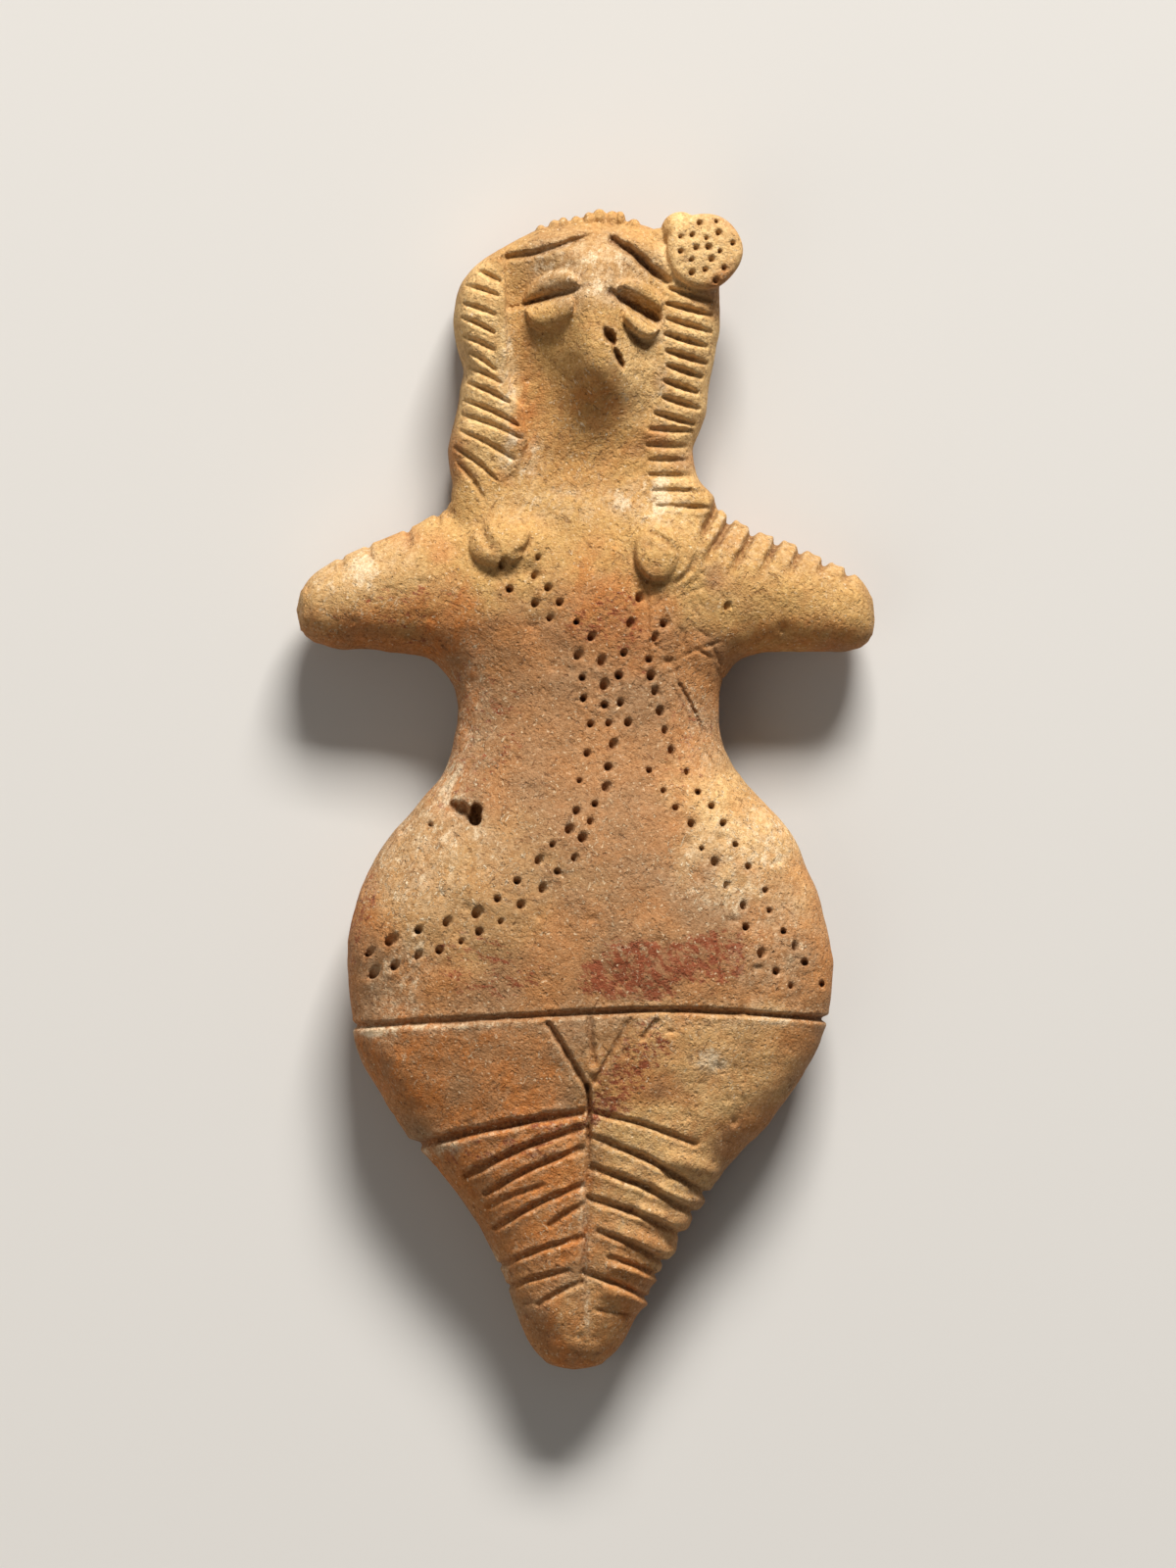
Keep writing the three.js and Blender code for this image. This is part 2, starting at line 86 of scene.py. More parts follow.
def soft_min(a, b, blend):
    if blend <= 0:
        return np.minimum(a, b)
    h = np.clip(0.5 + 0.5 * (b - a) / blend, 0, 1)
    return b + (a - b) * h - blend * h * (1 - h)


def soft_max(a, b, blend):
    return -soft_min(-a, -b, blend)


FAR_OFF = 1e9


def line_distance(x, y, points):
    """Plan distance to a run of points, and how far along the run the nearest place is, from 0 to 1."""
    points = np.array(points, float)
    lengths = np.hypot(*(points[1:] - points[:-1]).T)
    total = lengths.sum()
    best = np.full(np.broadcast(x, y).shape, FAR_OFF, np.float32)
    along = np.zeros_like(best)
    done = 0.0
    for (ax, ay), (bx, by), length in zip(points[:-1], points[1:], lengths):
        t = np.clip(((x - ax) * (bx - ax) + (y - ay) * (by - ay)) / length**2, 0, 1)
        d = np.hypot(x - ax - t * (bx - ax), y - ay - t * (by - ay))
        nearer = d < best
        best = np.where(nearer, d, best)
        along = np.where(nearer, (done + t * length) / total, along)
        done += length
    return best, along


def inside_distance(x, y, corners):
    """Plan distance to a closed outline, negative inside it."""
    ring = list(corners) + [corners[0]]
    distance, _ = line_distance(x, y, ring)
    inside = np.zeros(distance.shape, bool)
    for (ax, ay), (bx, by) in zip(ring[:-1], ring[1:]):
        if ay != by:
            crosses = (ay > y) != (by > y)
            inside ^= crosses & (x < ax + (y - ay) * (bx - ax) / (by - ay))
    return np.where(inside, -distance, distance)


def rounded(points, per=6):
    """Points along a smooth curve through a few chosen ones."""
    points = np.array(points, float)
    if len(points) < 3:
        return points
    spans = np.hypot(*(points[1:] - points[:-1]).T)
    at = np.concatenate([[0], np.cumsum(spans)])
    fine = np.linspace(0, at[-1], per * (len(points) - 1) + 1)
    xs = curve(list(zip(at, points[:, 0])))(fine)
    ys = curve(list(zip(at, points[:, 1])))(fine)
    return np.stack([xs, ys], axis=1)


# ---- The clay field ----

# The field is negative in the clay and positive outside it. It starts as nothing but air.
AIR = 30.0
LOW = np.array([-38.0, -74.0, -1.0])
HIGH = np.array([38.0, 74.5, 23.0])
COUNT = np.ceil((HIGH - LOW) / STEP).astype(int)
AXES = [(LOW[i] + STEP * np.arange(COUNT[i])).astype(np.float32) for i in range(3)]
field = np.full(tuple(COUNT), AIR, np.float32)
rng = np.random.default_rng(SEED)


def window(x0, x1, y0, y1, z0=-99, z1=99):
    """Slices and open coordinate arrays for the part of the grid inside these limits."""
    cuts = []
    for axis, (a, b) in zip(AXES, ((x0, x1), (y0, y1), (z0, z1))):
        cuts.append(slice(int(np.searchsorted(axis, a)), int(np.searchsorted(axis, b, side="right"))))
    cuts = tuple(cuts)
    x = AXES[0][cuts[0]][:, None, None]
    y = AXES[1][cuts[1]][None, :, None]
    z = AXES[2][cuts[2]][None, None, :]
    return cuts, x, y, z


# A section is widest at this share of its height.
WIDEST = 0.45
STEEPEST = 6
TINY = 1e-4


def slab(along, across, up, axis, mid, half, low, high, squareness):
    """Distance to a body whose sections across one axis are rounded slabs."""
    n = squareness
    level = low + WIDEST * (high - low)
    u = np.abs(across - mid) / half
    rise = up - level
    depth = np.where(rise > 0, high - level, level - low)
    v = np.abs(rise) / depth
    power = np.maximum(u**n + v**n, TINY)
    g = power ** (1 / n)
    steep = (u ** (n - 1) / half) ** 2 + (v ** (n - 1) / depth) ** 2
    steep = steep * power ** (2 * (1 - n) / n)
    steep += np.minimum(np.gradient(g, STEP, axis=axis) ** 2, STEEPEST * steep)
    return ((g - 1) / np.sqrt(np.maximum(steep, 0.1 * TINY))).astype(np.float32)


def ellipsoid(x, y, z, centre, radii, turn=0.0):
    """Distance to a ball stretched to three radii and turned about the vertical, in degrees."""
    c, s = math.cos(math.radians(turn)), math.sin(math.radians(turn))
    dx, dy, dz = x - centre[0], y - centre[1], z - centre[2]
    a = (dx * c + dy * s) / radii[0]
    b = (dy * c - dx * s) / radii[1]
    e = dz / radii[2]
    k = np.sqrt(a * a + b * b + e * e)
    k2 = np.sqrt((a / radii[0]) ** 2 + (b / radii[1]) ** 2 + (e / radii[2]) ** 2)
    return (k * (k - 1) / np.maximum(k2, TINY)).astype(np.float32)


def join(cuts, shape, blend):
    field[cuts] = soft_min(field[cuts], shape, blend)


def carve(cuts, shape, blend):
    field[cuts] = soft_max(field[cuts], -shape, blend)


def skin_height(px, py):
    """Height of the front surface over a plan point."""
    i = int(round((px - LOW[0]) / STEP))
    j = int(round((py - LOW[1]) / STEP))
    column = field[i, j]
    full = np.nonzero(column < 0)[0]
    if not len(full):
        return None
    k = full[-1]
    above = column[min(k + 1, len(column) - 1)]
    return float(AXES[2][k] + STEP * column[k] / (column[k] - above))


# ---- Body, arms, head ----

FOOT_Y = -72.5
NAPE_Y = 41
BODY_SQUARENESS = 2.35
BODY_HALF = curve([
    (FOOT_Y, 0.4), (-72, 2.6), (-71, 4.2), (-69, 5.8), (-67, 6.8), (-65, 7.6), (-61, 9.2), (-57, 11.4),
    (-53.5, 13.5), (-49.5, 16.3), (-45.5, 19.6), (-41.5, 22.9), (-37.5, 25.6), (-33.5, 28),
    (-30, 29.4), (-26, 30.2), (-22, 30.4), (-18, 30), (-14, 29), (-10, 27.4), (-6, 25.4), (-2.5, 22.6),
    (-0.5, 20.8), (1.5, 19), (3.5, 17.8), (6, 16.9), (9.5, 16.4), (13, 16.6), (16, 17.4), (20, 18.5),
    (28, 18.5), (33, 16.5), (36, 14), (41, 9),
])
BODY_MID = curve([
    (FOOT_Y, -1.7), (-69, -1.4), (-60, -1), (-46, -0.7), (-37, -0.2), (-28, 0.5), (-14, 0.2),
    (-2, 0.45), (8, 0.2), (14, 0), (41, 0),
])
BODY_HIGH = curve([
    (FOOT_Y, 6.2), (-72, 8.2), (-71, 9.8), (-68, 11.9), (-60, 14), (-50, 15.9), (-40, 17.6),
    (-28, 19.2), (-19, 19.8), (-10, 18.8), (0, 16.4), (8, 15), (16, 15), (26, 15.2), (33, 13.9),
    (36, 12.9), (41, 11),
])
BODY_LOW = curve([
    (FOOT_Y, 4.8), (-72, 3.4), (-71, 2.4), (-68, 1.4), (-60, 0.5), (-50, -0.4), (-40, -0.8), (-20, -1),
    (0, -0.4), (8, -0.2), (20, -0.7), (36, -0.2), (41, 0.6),
])

cuts, x, y, z = window(LOW[0], HIGH[0], LOW[1], NAPE_Y + 2)
torso = slab(y, x, z, 1, BODY_MID(y), BODY_HALF(y), BODY_LOW(y), BODY_HIGH(y), BODY_SQUARENESS)
torso = np.maximum(torso, np.maximum(FOOT_Y - y, y - NAPE_Y))
join(cuts, torso, 0)
del torso

# Profiles of the arms run outward from the middle line.
ARM_ROOT = 8
ARM_TIP = 36.1
ARM_SQUARENESS = 2.1
ARM_BLEND = 2.4
ARM_UPPER = {
    -1: curve([
        (8, 35), (15, 35.2), (18.8, 34.6), (22.5, 32.8), (26.7, 30.8), (30.7, 28.9), (33.2, 27.4),
        (34.6, 26.1), (35.5, 24.8), (35.95, 23.7), (ARM_TIP, 22.6),
    ]),
    1: curve([
        (8, 35), (15, 35.4), (18, 34.4), (20.7, 33), (26.2, 30.9), (29.7, 29.1), (33, 27.4),
        (34.6, 26), (35.5, 24.6), (35.95, 23.4), (ARM_TIP, 22),
    ]),
}
ARM_LOWER = {
    -1: curve([
        (8, 12), (15, 14.2), (17.6, 15.4), (19.4, 16.6), (22, 17.3), (28, 18), (32.6, 18.5),
        (34.3, 19.1), (35.4, 20.2), (35.95, 21.4), (ARM_TIP, 22.5),
    ]),
    1: curve([
        (8, 12), (15, 14.2), (17.6, 15.2), (19.6, 16.4), (22.5, 17), (29, 17.1), (33, 17.4),
        (34.6, 18.1), (35.5, 19.2), (35.95, 20.5), (ARM_TIP, 21.9),
    ]),
}
ARM_HIGH = curve([(8, 14.4), (18, 13.9), (26, 13), (32, 12), (34.4, 10.9), (35.5, 9.4), (ARM_TIP, 7)])
ARM_LOW = curve([(8, -0.2), (18, 0.2), (26, 0.8), (32, 1.7), (34.4, 2.9), (35.5, 4.4), (ARM_TIP, 6.9)])
for side in (-1, 1):
    reach = sorted((side * ARM_ROOT, side * HIGH[0]))
    cuts, x, y, z = window(*reach, 10, 38)
    out = side * x
    upper, lower = ARM_UPPER[side](out), ARM_LOWER[side](out)
    middle, half = (upper + lower) / 2, (upper - lower) / 2
    arm = slab(out, y, z, 0, middle, half, ARM_LOW(out), ARM_HIGH(out), ARM_SQUARENESS)
    arm = np.maximum(arm, np.maximum(out - ARM_TIP, ARM_ROOT - out))
    join(cuts, arm, ARM_BLEND)

HEAD_FOOT = 31
HEAD_TOP = 71.4
HEAD_SQUARENESS = 4.6
HEAD_BLEND = 1.6
HEAD_LEFT = curve([
    (31, 13), (34, 16.6), (36, 17.3), (38, 17), (40.5, 17.3), (42.5, 17.4), (44.6, 16.9), (46.6, 16.4),
    (48.5, 16), (50.5, 15.7), (52.4, 15.3), (54.4, 15.8), (56.4, 16.3), (58.3, 16.5), (60.3, 16.4),
    (62.2, 16.1), (64.2, 15.2), (66.1, 13.5), (67.6, 11), (68.6, 8.6), (69.6, 6), (70.6, 3.2),
    (71.4, 0.6),
])
HEAD_RIGHT = curve([
    (31, 12), (34, 15.8), (35.6, 16.3), (37, 15.7), (38.7, 14.1), (40.7, 13.3), (43, 13), (44.6, 13.6),
    (46.6, 14.3), (50.5, 14.9), (54.4, 15.7), (58.3, 16.3), (62.2, 16.4), (64.6, 16.2), (66.4, 14.6),
    (68, 11.8), (69, 9.4), (70, 7.2), (70.8, 5.4), (71.4, 3.4),
])
HEAD_HIGH = curve([
    (31, 12.6), (36, 12.4), (41, 11.9), (46, 12), (52, 12.5), (58, 13), (64, 12.8), (67, 12),
    (69.5, 10.6), (71.4, 8.6),
])
HEAD_LOW = curve([(31, 0.4), (40, 0.8), (50, 0.6), (60, 0.6), (66, 1.2), (69.5, 3), (71.4, 5.4)])
cuts, x, y, z = window(-21, 21, HEAD_FOOT - 2, HEAD_TOP + 2.6)
left, right = HEAD_LEFT(y), HEAD_RIGHT(y)
middle, half = (right - left) / 2, (right + left) / 2
head = slab(y, x, z, 1, middle, half, HEAD_LOW(y), HEAD_HIGH(y), HEAD_SQUARENESS)
head = np.maximum(head, np.maximum(HEAD_FOOT - y, y - HEAD_TOP))
join(cuts, head, HEAD_BLEND)

# ---- Relief drawn in plan: positive is cut into the clay, negative stands proud ----

PX = AXES[0][:, None]
PY = AXES[1][None, :]
relief = np.zeros((COUNT[0], COUNT[1]), np.float32)
late_relief = np.zeros_like(relief)
# Where the holes get painted shade.
pit_shade = np.zeros_like(relief)


# A stroke keeps its full depth but for this share at each end, and its width wavers along it.
FADE_SHARE = 1 / 3
WAVER = 0.12
WAVER_TURNS = 23
TROUGH_SQUARENESS = 2.6
LIP_PLACE = 1.7
LIP_WIDTH = 0.7


def groove(target, points, half, deep, lip=0.12, start=1.0, end=1.0, smooth=True, taper=0.0):
    """A stroke of a blunt point: a rounded trough with a raised lip. Start and end are the shares of its
    depth that are left at its ends, and taper is how much narrower it is there."""
    run = rounded(points) if smooth else points
    distance, along = line_distance(PX, PY, run)
    strength = deep * (start + (1 - start) * np.clip(along / FADE_SHARE, 0, 1))
    strength = strength * (end + (1 - end) * np.clip((1 - along) / FADE_SHARE, 0, 1))
    wobble = 1 + WAVER * np.sin(along * WAVER_TURNS + deep * 40)
    width = half * wobble * (1 - taper * (2 * along - 1) ** 2)
    target += strength * np.exp(-((distance / width) ** TROUGH_SQUARENESS))
    lip_distance = (distance - LIP_PLACE * width) / (LIP_WIDTH * width)
    target -= strength * lip * np.exp(-(lip_distance**2))


# The nose: a pinched ridge that widens into the cheeks and falls away under its blunt tip.
RIDGE_RISE = curve([
    (37, 0), (40, 0.2), (43, 0.6), (46, 1.6), (48.5, 2.9), (50.5, 4.3), (52.3, 5.3), (54.5, 5.6),
    (57, 5.4), (60, 4.9), (64, 4), (67, 2.9), (69.4, 1.4), (71.4, 0.3),
])
RIDGE_X = curve([(39, 1), (46, 1.6), (51, 1.9), (55, 1.2), (62, 0.9), (69, 0.6)])
RIDGE_WIDE = curve([
    (37, 8), (43, 6.4), (47, 5), (50, 4.6), (53, 4.7), (58, 4.8), (63, 5.2), (66, 6.5), (69, 8),
])
RIDGE_SQUARENESS = 2.1
away = np.abs(PX - RIDGE_X(PY)) / RIDGE_WIDE(PY)
ridge = RIDGE_RISE(PY) * np.exp(-(away**RIDGE_SQUARENESS))
relief -= ridge


def beside(start, end):
    """Share of the way along a straight line, and signed distance from it, positive on its left."""
    reach_x, reach_y = end[0] - start[0], end[1] - start[1]
    length = math.hypot(reach_x, reach_y)
    along = ((PX - start[0]) * reach_x + (PY - start[1]) * reach_y) / length**2
    off = ((PY - start[1]) * reach_x - (PX - start[0]) * reach_y) / length
    return along, off


def lid(target, start, end, swell, peak, proud, full=0.4, crown=0.5):
    """A half-moon of clay with its straight edge on a line. It swells to the left, or to the right where
    swell is negative, is widest at the share peak of its length, and stands this proud. Full and crown
    are the powers that round off its outline and its section."""
    along, off = beside(start, end)
    share = np.clip(along, 0, 1)
    skewed = share ** (math.log(0.5) / math.log(peak))
    wide = abs(swell) * np.maximum(4 * skewed * (1 - skewed), 0) ** full
    across = 2 * off * math.copysign(1, swell) / np.maximum(wide, 0.05) - 1
    target -= proud * np.clip(1 - across**2, 0, 1) ** crown * np.clip(wide / abs(swell), 0, 1) ** 0.35


# The left eye lies in a plane that falls from the brow to the slit.
LEFT_SLIT = ((-9.7, 60), (-0.5, 62.6))
RIGHT_SLIT = ((3, 62), (8.8, 58.8))
_, over_slit = beside(*LEFT_SLIT)
FACET_DEPTH = 1.15
fall_to_slit = smoothstep(6.5, 0.4, over_slit) * smoothstep(-0.15, 0.15, over_slit)
eye_facet = FACET_DEPTH * fall_to_slit * smoothstep(-10.3, -9.9, PX) * smoothstep(-0.2, -5, PX)
relief += eye_facet

# Hair panels stand a little proud of the face, neck and shoulders.
HAIR_RISE = 1.0
HAIR_LEFT = [
    (-10.3, 66.6), (-10, 60), (-9.9, 55), (-9.4, 49.2), (-7.9, 47.6), (-7.4, 43.4), (-8.8, 39.9),
    (-12, 37.6), (-15, 35.6), (-21, 34), (-21, 72), (-12, 72),
]
HAIR_RIGHT = [
    (9.8, 63.4), (9, 58), (8.7, 50), (8.3, 46.4), (7.4, 44.6), (7.2, 40), (7.7, 36), (9, 34.3),
    (16.8, 33.6), (21, 35), (21, 72), (12, 72),
]
left_hair = inside_distance(PX, PY, HAIR_LEFT)
right_hair = inside_distance(PX, PY, HAIR_RIGHT)
# The edges of the panels are crisp beside the face and soft over the shoulders.
crisp = smoothstep(40.5, 45, PY)
left_rise = smoothstep(0.2, -0.2, left_hair) * (0.25 + 0.75 * crisp) * smoothstep(35, 39.5, PY)
right_rise = crisp * smoothstep(0.9, -0.6, right_hair)
right_rise = right_rise + (1 - crisp) * smoothstep(0.6, -1.6, right_hair)
held_in = smoothstep(-0.2, 2, HEAD_LEFT(PY) + PX) * smoothstep(-0.2, 2, HEAD_RIGHT(PY) - PX)
held_in = held_in * smoothstep(HEAD_TOP, HEAD_TOP - 4, PY)
relief -= HAIR_RISE * (left_rise + 0.6 * right_rise) * held_in

# Cuts part the hair into locks. On the right they slant only down to the share RIGHT_SLANT of the panel.
LEFT_HAIR_TOP, LEFT_HAIR_BOTTOM, LEFT_LOCKS = 64.9, 40.6, 13
RIGHT_HAIR_TOP, RIGHT_HAIR_BOTTOM, RIGHT_LOCKS = 62.6, 35.4, 15
RIGHT_SLANT = 0.62
LEFT_INNER = curve([(36, -13.6), (39, -10.8), (43, -8.2), (47, -8.8), (50, -10.4), (66, -10.6)])
RIGHT_INNER = curve([(34, 9.2), (40, 7.9), (44, 7.7), (48, 9.1), (58, 10), (64, 10)])
hair_cut = np.zeros_like(relief)
for i in range(LEFT_LOCKS):
    t = i / (LEFT_LOCKS - 1)
    top = LEFT_HAIR_TOP + (LEFT_HAIR_BOTTOM - LEFT_HAIR_TOP) * t + rng.uniform(-0.25, 0.25)
    fall = 1.4 + 2.9 * t**1.8 + rng.uniform(-0.2, 0.3)
    outer = -float(HEAD_LEFT(top)) + rng.uniform(0.7, 1.5)
    inner = float(LEFT_INNER(top - fall)) + rng.uniform(-0.3, 0.2)
    run = [(outer, top), ((outer + inner) / 2, top - fall * 0.42), (inner, top - fall)]
    groove(hair_cut, run, 0.33, rng.uniform(0.5, 0.8), start=0.6, end=0.7, taper=0.35)
for i in range(RIGHT_LOCKS):
    t = i / (RIGHT_LOCKS - 1)
    top = RIGHT_HAIR_TOP + (RIGHT_HAIR_BOTTOM - RIGHT_HAIR_TOP) * t + rng.uniform(-0.15, 0.15)
    fall = (1.45 if t < RIGHT_SLANT else 0.15) + rng.uniform(-0.15, 0.15)
    inner = float(RIGHT_INNER(top)) + rng.uniform(-0.2, 0.3)
    outer = float(HEAD_RIGHT(top - fall)) - rng.uniform(0.6, 1.1)
    deep = rng.uniform(0.85, 1.1) if t < RIGHT_SLANT else rng.uniform(0.5, 0.8)
    run = [(inner, top), ((inner + outer) / 2, top - fall * 0.5), (outer, top - fall)]
    groove(hair_cut, run, 0.4, deep, start=0.7, end=0.5, taper=0.3)
relief += hair_cut


def ridge_along(points, width):
    """A soft bank along a run of points, 1 at its crest."""
    distance, _ = line_distance(PX, PY, points)
    return np.exp(-((distance / width) ** 2))


# Brow lines, with the band of the crest standing over them.
groove(relief, [(-10.4, 66.4), (-6, 67.1), (-2, 68.3), (0.8, 69.1)], 0.42, 0.7, start=0.9, end=0.3)
groove(relief, [(3.3, 68.5), (6, 66.8), (8, 64.9), (10, 63.5)], 0.55, 1.15, start=0.9, end=0.7)
relief -= 0.5 * ridge_along([(-9.5, 67.6), (-5, 68.9), (0, 70)], 1.2) * held_in
relief -= 0.8 * ridge_along([(4.6, 69.6), (7.6, 67.8), (10.4, 65.4)], 1.3) * held_in

# Waist line, the incised triangle, and the division between the legs.
WAIST = [(-31.5, -29.5), (-24, -29.1), (-11, -28.3), (0, -27.7), (9, -27.3), (19, -27.7), (32, -28.7)]
VALLEY_DEPTH = 0.55
groove(relief, WAIST, 0.42, 0.55)
groove(relief, WAIST[2:], 0.3, 0.3, start=0.2)
groove(relief, [(-4.8, -29), (-2.9, -32), (-1, -35.2), (0.1, -37)], 0.38, 0.7)
groove(relief, [(5.5, -28.4), (3.2, -32.4), (1.1, -36.2)], 0.34, 0.45, start=0.6)
groove(relief, [(0.4, -28.4), (0.5, -31), (0.9, -34)], 0.42, 0.6, end=0.8)
groove(relief, [(8.7, -28.7), (7, -30.8)], 0.35, 0.45, smooth=False)
groove(relief, [(0.1, -36.6), (0.3, -39.8), (0.2, -43.5)], 0.3, 0.9, end=0.5)
groove(relief, [(0.2, -42), (0.1, -50), (-0.3, -58), (-0.9, -66.8)], 0.36, 0.55, end=0.2)
groove(relief, [(0.75, -44), (0.7, -50), (0.5, -56)], 0.25, 0.3, start=0.2, end=0.2)
between_legs = np.exp(-(((PX + 0.1) / 2.4) ** 2)) * smoothstep(-33, -42, PY) * smoothstep(-71, -64, PY)
valley = VALLEY_DEPTH * between_legs
relief += valley

# Creases over the legs: (side, start out, start along, reach, fall, half width, depth).
LEG_CREASES = [
    (-1, 0.6, -40.1, 19.6, 4.2, 0.62, 1.15), (-1, 0.6, -42, 13.4, 5.9, 0.52, 1.05),
    (-1, 0.6, -44.6, 11.2, 5.6, 0.45, 0.9), (-1, 5.4, -49.2, 6.4, 2.7, 0.38, 0.5),
    (-1, 0.6, -49.2, 10, 5.3, 0.45, 0.9), (-1, 0.5, -51.6, 3.8, 2.6, 0.4, 0.6),
    (-1, 0.6, -55.7, 9.8, 3.7, 0.42, 0.7), (-1, 2.4, -59.9, 7.4, 2.2, 0.4, 0.6),
    (-1, 0.6, -61.3, 5, 2.8, 0.38, 0.6), (1, 0.7, -40, 12.8, 4, 0.42, 0.8),
    (1, 0.7, -43.1, 14.6, 7.6, 0.5, 1), (1, 0.9, -47, 13, 6.1, 0.52, 1.1),
    (1, 0.4, -50.8, 12, 4.9, 0.5, 1), (1, 1.6, -55, 8.6, 4.2, 0.45, 0.95),
    (1, 2.8, -58.3, 6.6, 2.6, 0.48, 1), (1, -0.2, -60.1, 8.6, 3.9, 0.42, 0.9),
    (1, 1.1, -64.8, 4.8, 0.7, 0.34, 0.4),
]
# The share of its fall that a crease has made halfway out, on each side; the left ones are drawn out.
CREASE_BOW = {-1: 0.42, 1: 0.4}
CREASE_STRETCH = {-1: 1.07, 1: 1}
CREASE_SIZE = 0.9
for side, out, start_y, reach, fall, half, deep in LEG_CREASES:
    reach = reach * CREASE_STRETCH[side]
    halfway = (side * (out + reach * 0.5), start_y - fall * CREASE_BOW[side])
    run = [(side * out, start_y), halfway, (side * (out + reach), start_y - fall)]
    groove(relief, run, half * CREASE_SIZE, deep * CREASE_SIZE, start=0.55, end=0.6)

# Ribs bulge between the creases at the right edge of the legs.
RIB_ENDS = ((15.6, -47.6), (14.2, -51.6), (12.4, -54.2), (10.4, -57.4), (8.6, -60.8), (7.6, -64))
for rib_x, rib_y in RIB_ENDS:
    relief -= 0.7 * ridge_along([(rib_x - 5, rib_y + 1.6), (rib_x, rib_y)], 1.15)

# Strokes over the upper edge of the arms: (distance out, upper edge, reach down, lean inward, depth).
ARM_STROKES_LEFT = (
    (18.8, 34.8, 2.4, 0.6, 0.5), (22.6, 33, 2.8, 0.7, 0.7), (27.4, 30.6, 2.2, 0.6, 0.55),
    (30.8, 29, 1.8, 0.6, 0.45),
)
ARM_STROKES_RIGHT = (
    (15.8, 35, 4.4, 2.2, 0.95), (18.1, 34.6, 6.4, 3.6, 1.1), (21, 33.2, 6.4, 3.2, 1.05),
    (24, 31.9, 5.4, 2.6, 0.95), (26.9, 30.7, 4, 1.8, 0.85), (30, 29.3, 2.6, 1.2, 0.8),
    (32.8, 27.8, 2, 0.8, 0.7),
)
for out, top, reach, lean, deep in ARM_STROKES_LEFT:
    groove(relief, [(-out, top + 0.8), (-out + lean, top - reach)], 0.38, 0.7 * deep, end=0.1, smooth=False)
for out, top, reach, lean, deep in ARM_STROKES_RIGHT:
    run = [(out + 0.5, top + 1), (out, top - 0.4), (out - lean, top - reach)]
    groove(relief, run, 0.5, deep, end=0.15)

# Scratches by the right waist, and fine ones above them.
groove(relief, [(11.6, 13.2), (13.2, 10.2), (14.9, 6.6)], 0.24, 0.5, end=0.3)
groove(relief, [(10.8, 12.9), (12.4, 9.8), (13.6, 7.4)], 0.2, 0.22, end=0.2)
groove(relief, [(8.7, 12.6), (11.1, 8.8)], 0.2, 0.2, end=0.2, smooth=False)
SCRATCHES = 26
SCRATCH_TURNS = (-38, -62, 28)
for _ in range(SCRATCHES):
    px, py = rng.uniform(7, 17), rng.uniform(13, 27)
    turn = math.radians(rng.choice(SCRATCH_TURNS) + rng.uniform(-14, 14))
    half = rng.uniform(0.6, 1.9)
    ax, ay = half * math.cos(turn), half * math.sin(turn)
    ends = [(px - ax, py - ay), (px + ax, py + ay)]
    groove(relief, ends, 0.22, rng.uniform(0.1, 0.26), start=0.3, end=0.3, smooth=False)


def softened(values, spread):
    """A plan map blurred by a bell curve with this spread."""
    fx = np.fft.fftfreq(values.shape[0], STEP)[:, None]
    fy = np.fft.rfftfreq(values.shape[1], STEP)[None, :]
    bell = np.exp(-2 * (math.pi * spread) ** 2 * (fx**2 + fy**2))
    return np.fft.irfft2(np.fft.rfft2(values) * bell, values.shape)


# A cloud's features are this many times as wide as the bell curve that blurs it.
CLOUD_SHARE = 2.4


def cloud(scale, seed_offset):
    """Smooth random plan map with features about this many millimetres across, unit spread."""
    source = np.random.default_rng(SEED + seed_offset).standard_normal(relief.shape)
    kept = softened(source, scale / CLOUD_SHARE)
    return (kept / kept.std()).astype(np.float32)


# The skin is uneven all over, and rougher over the right leg and under the tip of the nose.
lumps = 0.16 * cloud(14, 1) + 0.09 * cloud(6, 2) + 0.05 * cloud(2.6, 3) + 0.022 * cloud(1.2, 4)
rough_leg = smoothstep(4, 12, PX) * smoothstep(-44, -52, PY)
rough_nose = np.exp(-(((PX - 1.6) / 3) ** 2) - ((PY - 50.5) / 3) ** 2)
lumps = lumps + (rough_leg + rough_nose) * (0.1 * cloud(1.8, 5) + 0.07 * cloud(1.0, 6))

# The relief fades out between these heights as the sides turn under.
FRONT_FROM, FRONT_FULL = 2.2, 6.2
front = smoothstep(FRONT_FROM, FRONT_FULL, AXES[2])[None, None, :].astype(np.float32)
field += (relief + lumps)[:, :, None] * front
field += (0.16 * cloud(12, 7) + 0.06 * cloud(4, 8))[:, :, None] * (1 - front)

# ---- Pellets of clay pressed on ----


# A pellet's middle lies this deep, and its slope is measured between points this share of its radius out.
PELLET_SINK = 0.5
SLOPE_SHARE = 0.7


def pellet(px, py, rx, ry, turn, proud, blend):
    """A flattened ball that lies on the slope under it."""
    reach = max(rx, ry) + 2
    top = skin_height(px, py)
    dx, dy = SLOPE_SHARE * rx, SLOPE_SHARE * ry
    tilt_x = (skin_height(px + dx, py) - skin_height(px - dx, py)) / (2 * dx)
    tilt_y = (skin_height(px, py + dy) - skin_height(px, py - dy)) / (2 * dy)
    cuts, x, y, z = window(px - reach, px + reach, py - reach, py + reach, top - 6, top + proud + 5)
    level = z - tilt_x * (x - px) - tilt_y * (y - py)
    shape = ellipsoid(x, y, level, (px, py, top - PELLET_SINK), (rx, ry, proud + PELLET_SINK), turn)
    shape = shape / math.sqrt(1 + tilt_x**2 + tilt_y**2)
    join(cuts, shape, blend)


